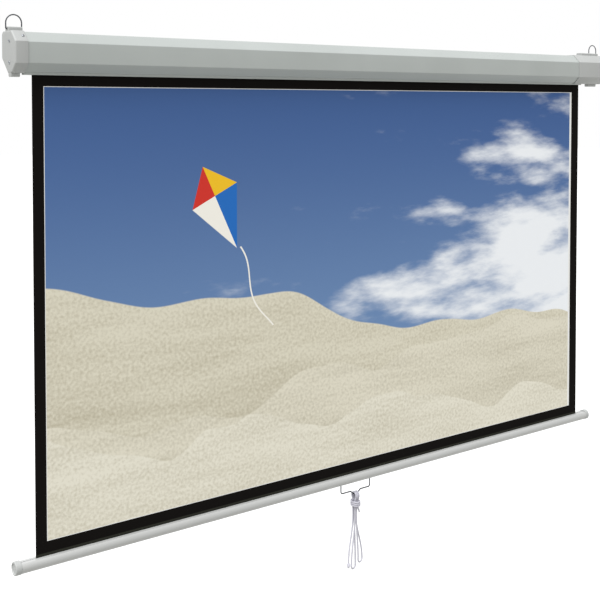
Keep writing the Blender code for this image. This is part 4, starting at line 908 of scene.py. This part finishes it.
def hung_cloth(name, top, low, rows, body):
    """A band of the sheet. Its two sides lie half a thickness off a surface that ripples
    sideways by a sum of two sines along X, faded out by the square of a sine at the slot and
    at the bar. Front and back make one loop, which strips close above and below."""
    x = np.linspace(-SHEET_HALF, SHEET_HALF, SHEET_COLUMNS)
    z = np.linspace(top, low, rows)[:, None]
    first, last = RIPPLE_SPAN
    fade = np.sin(np.pi * np.clip((z - first) / (last - first), 0, 1)) ** 2
    waves = sum(share * np.sin(wide * x + tall * z + start) for share, wide, tall, start in WAVES)
    y = SHEET_Y + RIPPLE * fade * waves
    y = np.concatenate([y - SHEET_THICK / 2, y[:, ::-1] + SHEET_THICK / 2], axis=1)
    loop = np.concatenate([x, x[::-1]])
    points = np.stack([np.broadcast_to(loop, y.shape), y, np.broadcast_to(z, y.shape)], axis=-1)
    step = np.arange(SHEET_COLUMNS - 1)
    strip = np.stack([step, step + 1, len(loop) - 2 - step, len(loop) - 1 - step], axis=1)
    quads = (rows - 1) * len(loop)
    ends = np.concatenate([strip, strip + quads]).tolist()
    lay = grid_lay(np.append(loop, loop[0]) + SHEET_HALF, z[:, 0] - SHEET_LOW)
    sheet = new_piece(name, points, print_face, body, lay=lay, ends=ends)
    sheet.data.materials.append(bare_cloth)
    place = np.arange(quads + len(ends))
    front = (place % len(loop) < SHEET_COLUMNS - 1) & (place < quads)
    sheet.data.polygons.foreach_set("material_index", np.where(front, 0, 1).astype(np.int32))
    return sheet


sheet = hung_cloth("screen_cloth", 0, BAND_TOP, 91, "case")
band = hung_cloth("screen_cloth_band", BAND_TOP, SHEET_LOW, 4, "bar")
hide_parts("screen_sheet")
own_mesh(sheet)

# The last turn and a half of the same cloth stays on the tube: its end view is a spiral
# whose radius grows evenly with the turn, one cloth thick, and ends where the sheet leaves.
angle = np.linspace(-2 * np.pi * WRAP_TURNS, 0, WRAP_STEPS + 1)
radius = WRAP_INNER + WRAP_PITCH * (angle / (2 * np.pi) + WRAP_TURNS)
spiral = np.concatenate([radius + SHEET_THICK, radius[::-1]])
angle = np.concatenate([angle, angle[::-1]])
wrap_view = np.stack([ROLLER_Y - spiral * np.cos(angle), spiral * np.sin(angle)], axis=1)
ends = (-SHEET_HALF, SHEET_HALF)
wraps = skinned("cloth_turns", [wrap_view] * 2, ends, bare_cloth, "roller", sharp=50)
places = np.empty(3 * len(wraps.data.vertices))
wraps.data.vertices.foreach_get("co", places)
corners = np.empty(len(wraps.data.loops), np.int32)
wraps.data.loops.foreach_get("vertex_index", corners)
lay = places.reshape(-1, 3)[corners][:, [0, 2]]
wraps.data.uv_layers.new(name="lay").data.foreach_set("uv", lay.ravel())
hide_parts("fabric_wraps")


# Weight bar. An extruded aluminium tube with a flat top and a keyed channel that grips the
# sheet's rod, painted light grey. Two slots below take the wire pull, and a dished ABS plug
# closes each end.
BAR_Z = -1.16655
BAR_RADIUS = 0.01525
BAR_HOLLOW = 0.01345
BAR_FLAT = 0.011
BAR_MOUTH = 0.002
CHANNEL_RADIUS = 0.0035
CHANNEL_RISE = 0.006
HOLLOW_TOP = 0.001
BAR_HALF = 1.0
BAR_STEPS = 64
CHANNEL_STEPS = 24
HOLLOW_STEPS = 48
PULL_HALF = 0.053
SLOT_HALF = (0.0022, 0.0053)
SLOT_ROUND = 0.0015
SLOT_CUT = (BAR_RADIUS + 0.002, 0.005)
PLUG_RADIUS = 0.016
PLUG_LENGTH = 0.014
PLUG_EDGE = 0.0017
PLUG_DISH = (0.0115, 0.002)
DISH_CENTRE = 0.003
DISH_ROUND = 0.0008
DISH_FLARE = 0.0009
PLUG_SEAM = 0.0004
PLUG_SPIGOT = 0.016


def arc(radius, start, end, steps, rise=0.0):
    """Points (y, z) on a circle from one angle to another in degrees, lifted by a rise."""
    angle = np.radians(np.linspace(start, end, steps + 1))
    return np.stack([radius * np.cos(angle), radius * np.sin(angle) + rise], axis=1)


# Extruded aluminium, stove-enamelled. It gives a smooth satin light grey with faint die
# lines along the bar, 0.3 mm apart and drawn at 0.8 mm.
bar_paint, tree, shader = surface("enamelled_aluminium", 0.36)
place = add(tree, "TexCoord")["Object"]
drawn = add(tree, "Mapping", {"Vector": place, "Scale": (1.5, 1200.0, 1200.0)})[0]
line = add(tree, "TexNoise", {"Vector": drawn, "Scale": 1.0, "Detail": 2.0})[0]
drift = add(tree, "TexNoise", {"Vector": place, "Scale": 5.0, "Detail": 3.0})[0]
dress(tree, shader, drift, ("B1B2B1", "B8B9B8"), line, (0.28, 0.44), line, 0.25, 0.00005)

flat_turn = math.degrees(math.asin(BAR_FLAT / BAR_RADIUS))
neck_turn = math.degrees(math.asin(BAR_MOUTH / 2 / CHANNEL_RADIUS))
bar_outside = np.concatenate([
    arc(BAR_RADIUS, flat_turn, -180 - flat_turn, BAR_STEPS),
    [(-BAR_MOUTH / 2, BAR_FLAT)],
    arc(CHANNEL_RADIUS, 90 + neck_turn, 450 - neck_turn, CHANNEL_STEPS, CHANNEL_RISE),
    [(BAR_MOUTH / 2, BAR_FLAT)],
]) + (SHEET_Y, BAR_Z)
chord = math.degrees(math.asin(HOLLOW_TOP / BAR_HOLLOW))
bar_inside = arc(BAR_HOLLOW, chord, -180 - chord, HOLLOW_STEPS) + (SHEET_Y, BAR_Z)
bar = skinned("bar_extrusion", [bar_outside] * 2, (-BAR_HALF, BAR_HALF), bar_paint, "bar")
bar_tools = [skinned("bar_hollow", [bar_inside] * 2, (-CUT_END, CUT_END), bar_paint, "bar")]
slot_corners = np.array([(-1, -1), (-1, 1), (1, 1), (1, -1)]) * SLOT_HALF
slot_view = rounded(wrapped(slot_corners), SLOT_ROUND, 5)[1:-1]
levels = BAR_Z - np.array(SLOT_CUT)
for side in (-1, 1):
    views = [slot_view + (PULL_X + side * PULL_HALF, SHEET_Y)] * 2
    slot = skinned(f"bar_slot_{side + 1}", views, levels, bar_paint, "bar", order=(1, 2, 0))
    bar_tools.append(slot)
worked(bar, bar_tools)
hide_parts("weight_bar")


def spun(name, profile, side, start):
    """A plug turned about the bar's axis. Each (radius, distance) of the profile is a ring,
    its distance outwards from the start, and the first and last rings are filled."""
    radius, distance = profile.T[:, :, None]
    angle = np.linspace(0, 2 * np.pi, BAR_STEPS, endpoint=False)
    y = SHEET_Y + radius * np.cos(angle)
    x = np.broadcast_to(start + side * distance, y.shape)
    rings = np.stack([x, y, BAR_Z + radius * np.sin(angle)], axis=-1)
    return new_piece(name, rings, cap_plastic, "bar", sharp=40)


# The plug's profile: the dish with a small round at its foot, a rolled rim, and the side.
dish, depth = PLUG_DISH
rim = arc(PLUG_EDGE, 0, 90, 6) + (PLUG_RADIUS - PLUG_EDGE, PLUG_LENGTH - PLUG_EDGE)
foot = arc(DISH_ROUND, -90, 0, 4) + (dish - DISH_ROUND, PLUG_LENGTH - depth + DISH_ROUND)
plug_profile = np.concatenate([
    [(DISH_CENTRE, PLUG_LENGTH - depth)],
    foot,
    [(dish + DISH_FLARE, PLUG_LENGTH)],
    rim[::-1],
    [(PLUG_RADIUS, PLUG_SEAM), (PLUG_RADIUS - PLUG_SEAM, 0.0)],
])
inner = BAR_HOLLOW - GAP
inner_chord = math.degrees(math.asin((HOLLOW_TOP - GAP) / inner))
spigot_view = arc(inner, inner_chord, -180 - inner_chord, HOLLOW_STEPS) + (SHEET_Y, BAR_Z)
for name, side in (("left_bar_plug", -1), ("right_bar_plug", 1)):
    start = side * (BAR_HALF + GAP)
    plug = spun(f"{name}_moulding", plug_profile, side, start)
    ends = (start - side * PLUG_SPIGOT, start + side * PLUG_LENGTH / 2)
    spigot = skinned(f"{name}_spigot", [spigot_view] * 2, ends, cap_plastic, "bar")
    worked(plug, [spigot], "UNION", sharp=40)
    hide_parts(name)


# Wire pull. One 3.6 mm spring-steel wire, bent to a wide U with a dip for the cord in its
# middle. Its two feet turn outwards inside the bar, so it swings in the bar's slots.
PULL_TOP = -1.1779
PULL_LOW = -1.2058
PULL_FOOT = 0.012
DIP_HALVES = (0.018, 0.007)
PULL_BENDS = (0.003, 0.006, 0.003, 0.003)

pull_left = np.array([
    (-PULL_HALF - PULL_FOOT, PULL_TOP),
    (-PULL_HALF, PULL_TOP),
    (-PULL_HALF, PULL_LOW),
    (-DIP_HALVES[0], PULL_LOW),
    (-DIP_HALVES[1], DIP_Z),
])
pull_route = np.concatenate([pull_left, pull_left[::-1] * (-1, 1)])
pull_flat = rounded(pull_route, PULL_BENDS + PULL_BENDS[::-1], 8)
pull_path = np.insert(pull_flat + (PULL_X, 0), 1, SHEET_Y, axis=1)
pull = tube("wire_pull", pull_path, PULL_WIRE, drawn_wire, "handle", (0, 1, 0), WIRE_SIDES)
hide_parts("pull_bracket")


# Studio. A pale floor and an even white surround. One broad sun comes from above and left,
# and the surround fills the rest, so that a front face shows its colour about as written.
SUN_LEVEL = 3.77
SUN_BREADTH = 50
SUN_FROM = (-0.42, -0.20, 0.885)
SURROUND = 0.65
FLOOR_Z = -2.15
FLOOR_HALF = 40


def seen(tree):
    """One for a camera, glossy or transmission ray, which sees the studio white, else zero."""
    paths = add(tree, "LightPath")
    either = {0: paths["Is Camera Ray"], 1: paths["Is Glossy Ray"]}
    first = add(tree, "Math", either, operation="MAXIMUM")[0]
    return add(tree, "Math", {0: first, 1: paths["Is Transmission Ray"]}, operation="MAXIMUM")[0]


floor_paint, tree, shader = surface("studio_floor", 0.9)
pale = add(tree, "Mix", {0: seen(tree), 6: linear("A6A6A1"), 7: linear("E8E8E8")}, data_type="RGBA")[2]
fill(shader, {"Base Color": pale, "Specular IOR Level": 0.0})
floor_mesh = bpy.data.meshes.new("floor")
ways = ((-1, -1), (1, -1), (1, 1), (-1, 1))
corners = [(x * FLOOR_HALF, y * FLOOR_HALF, FLOOR_Z) for x, y in ways]
floor_mesh.from_pydata(corners, [], [(0, 1, 2, 3)])
floor_mesh.materials.append(floor_paint)
floor = bpy.data.objects.new("floor", floor_mesh)
bpy.context.scene.collection.objects.link(floor)

world = bpy.data.worlds.new("surround")
world.use_nodes = True
bpy.context.scene.world = world
tree = world.node_tree
level = add(tree, "MapRange", {"Value": seen(tree), "To Min": SURROUND, "To Max": 1.0})[0]
fill(tree.nodes["Background"], {"Color": (1, 1, 1, 1), "Strength": level})

sun = bpy.data.lights.new("sun", "SUN")
sun.energy = SUN_LEVEL
sun.angle = math.radians(SUN_BREADTH)
sun_stand = bpy.data.objects.new("sun", sun)
towards = np.array(SUN_FROM)
sun_stand.rotation_euler = (
    math.atan2(math.hypot(towards[0], towards[1]), towards[2]),
    0,
    math.atan2(towards[0], -towards[1]),
)
bpy.context.scene.collection.objects.link(sun_stand)
bpy.context.scene.view_settings.view_transform = "Standard"
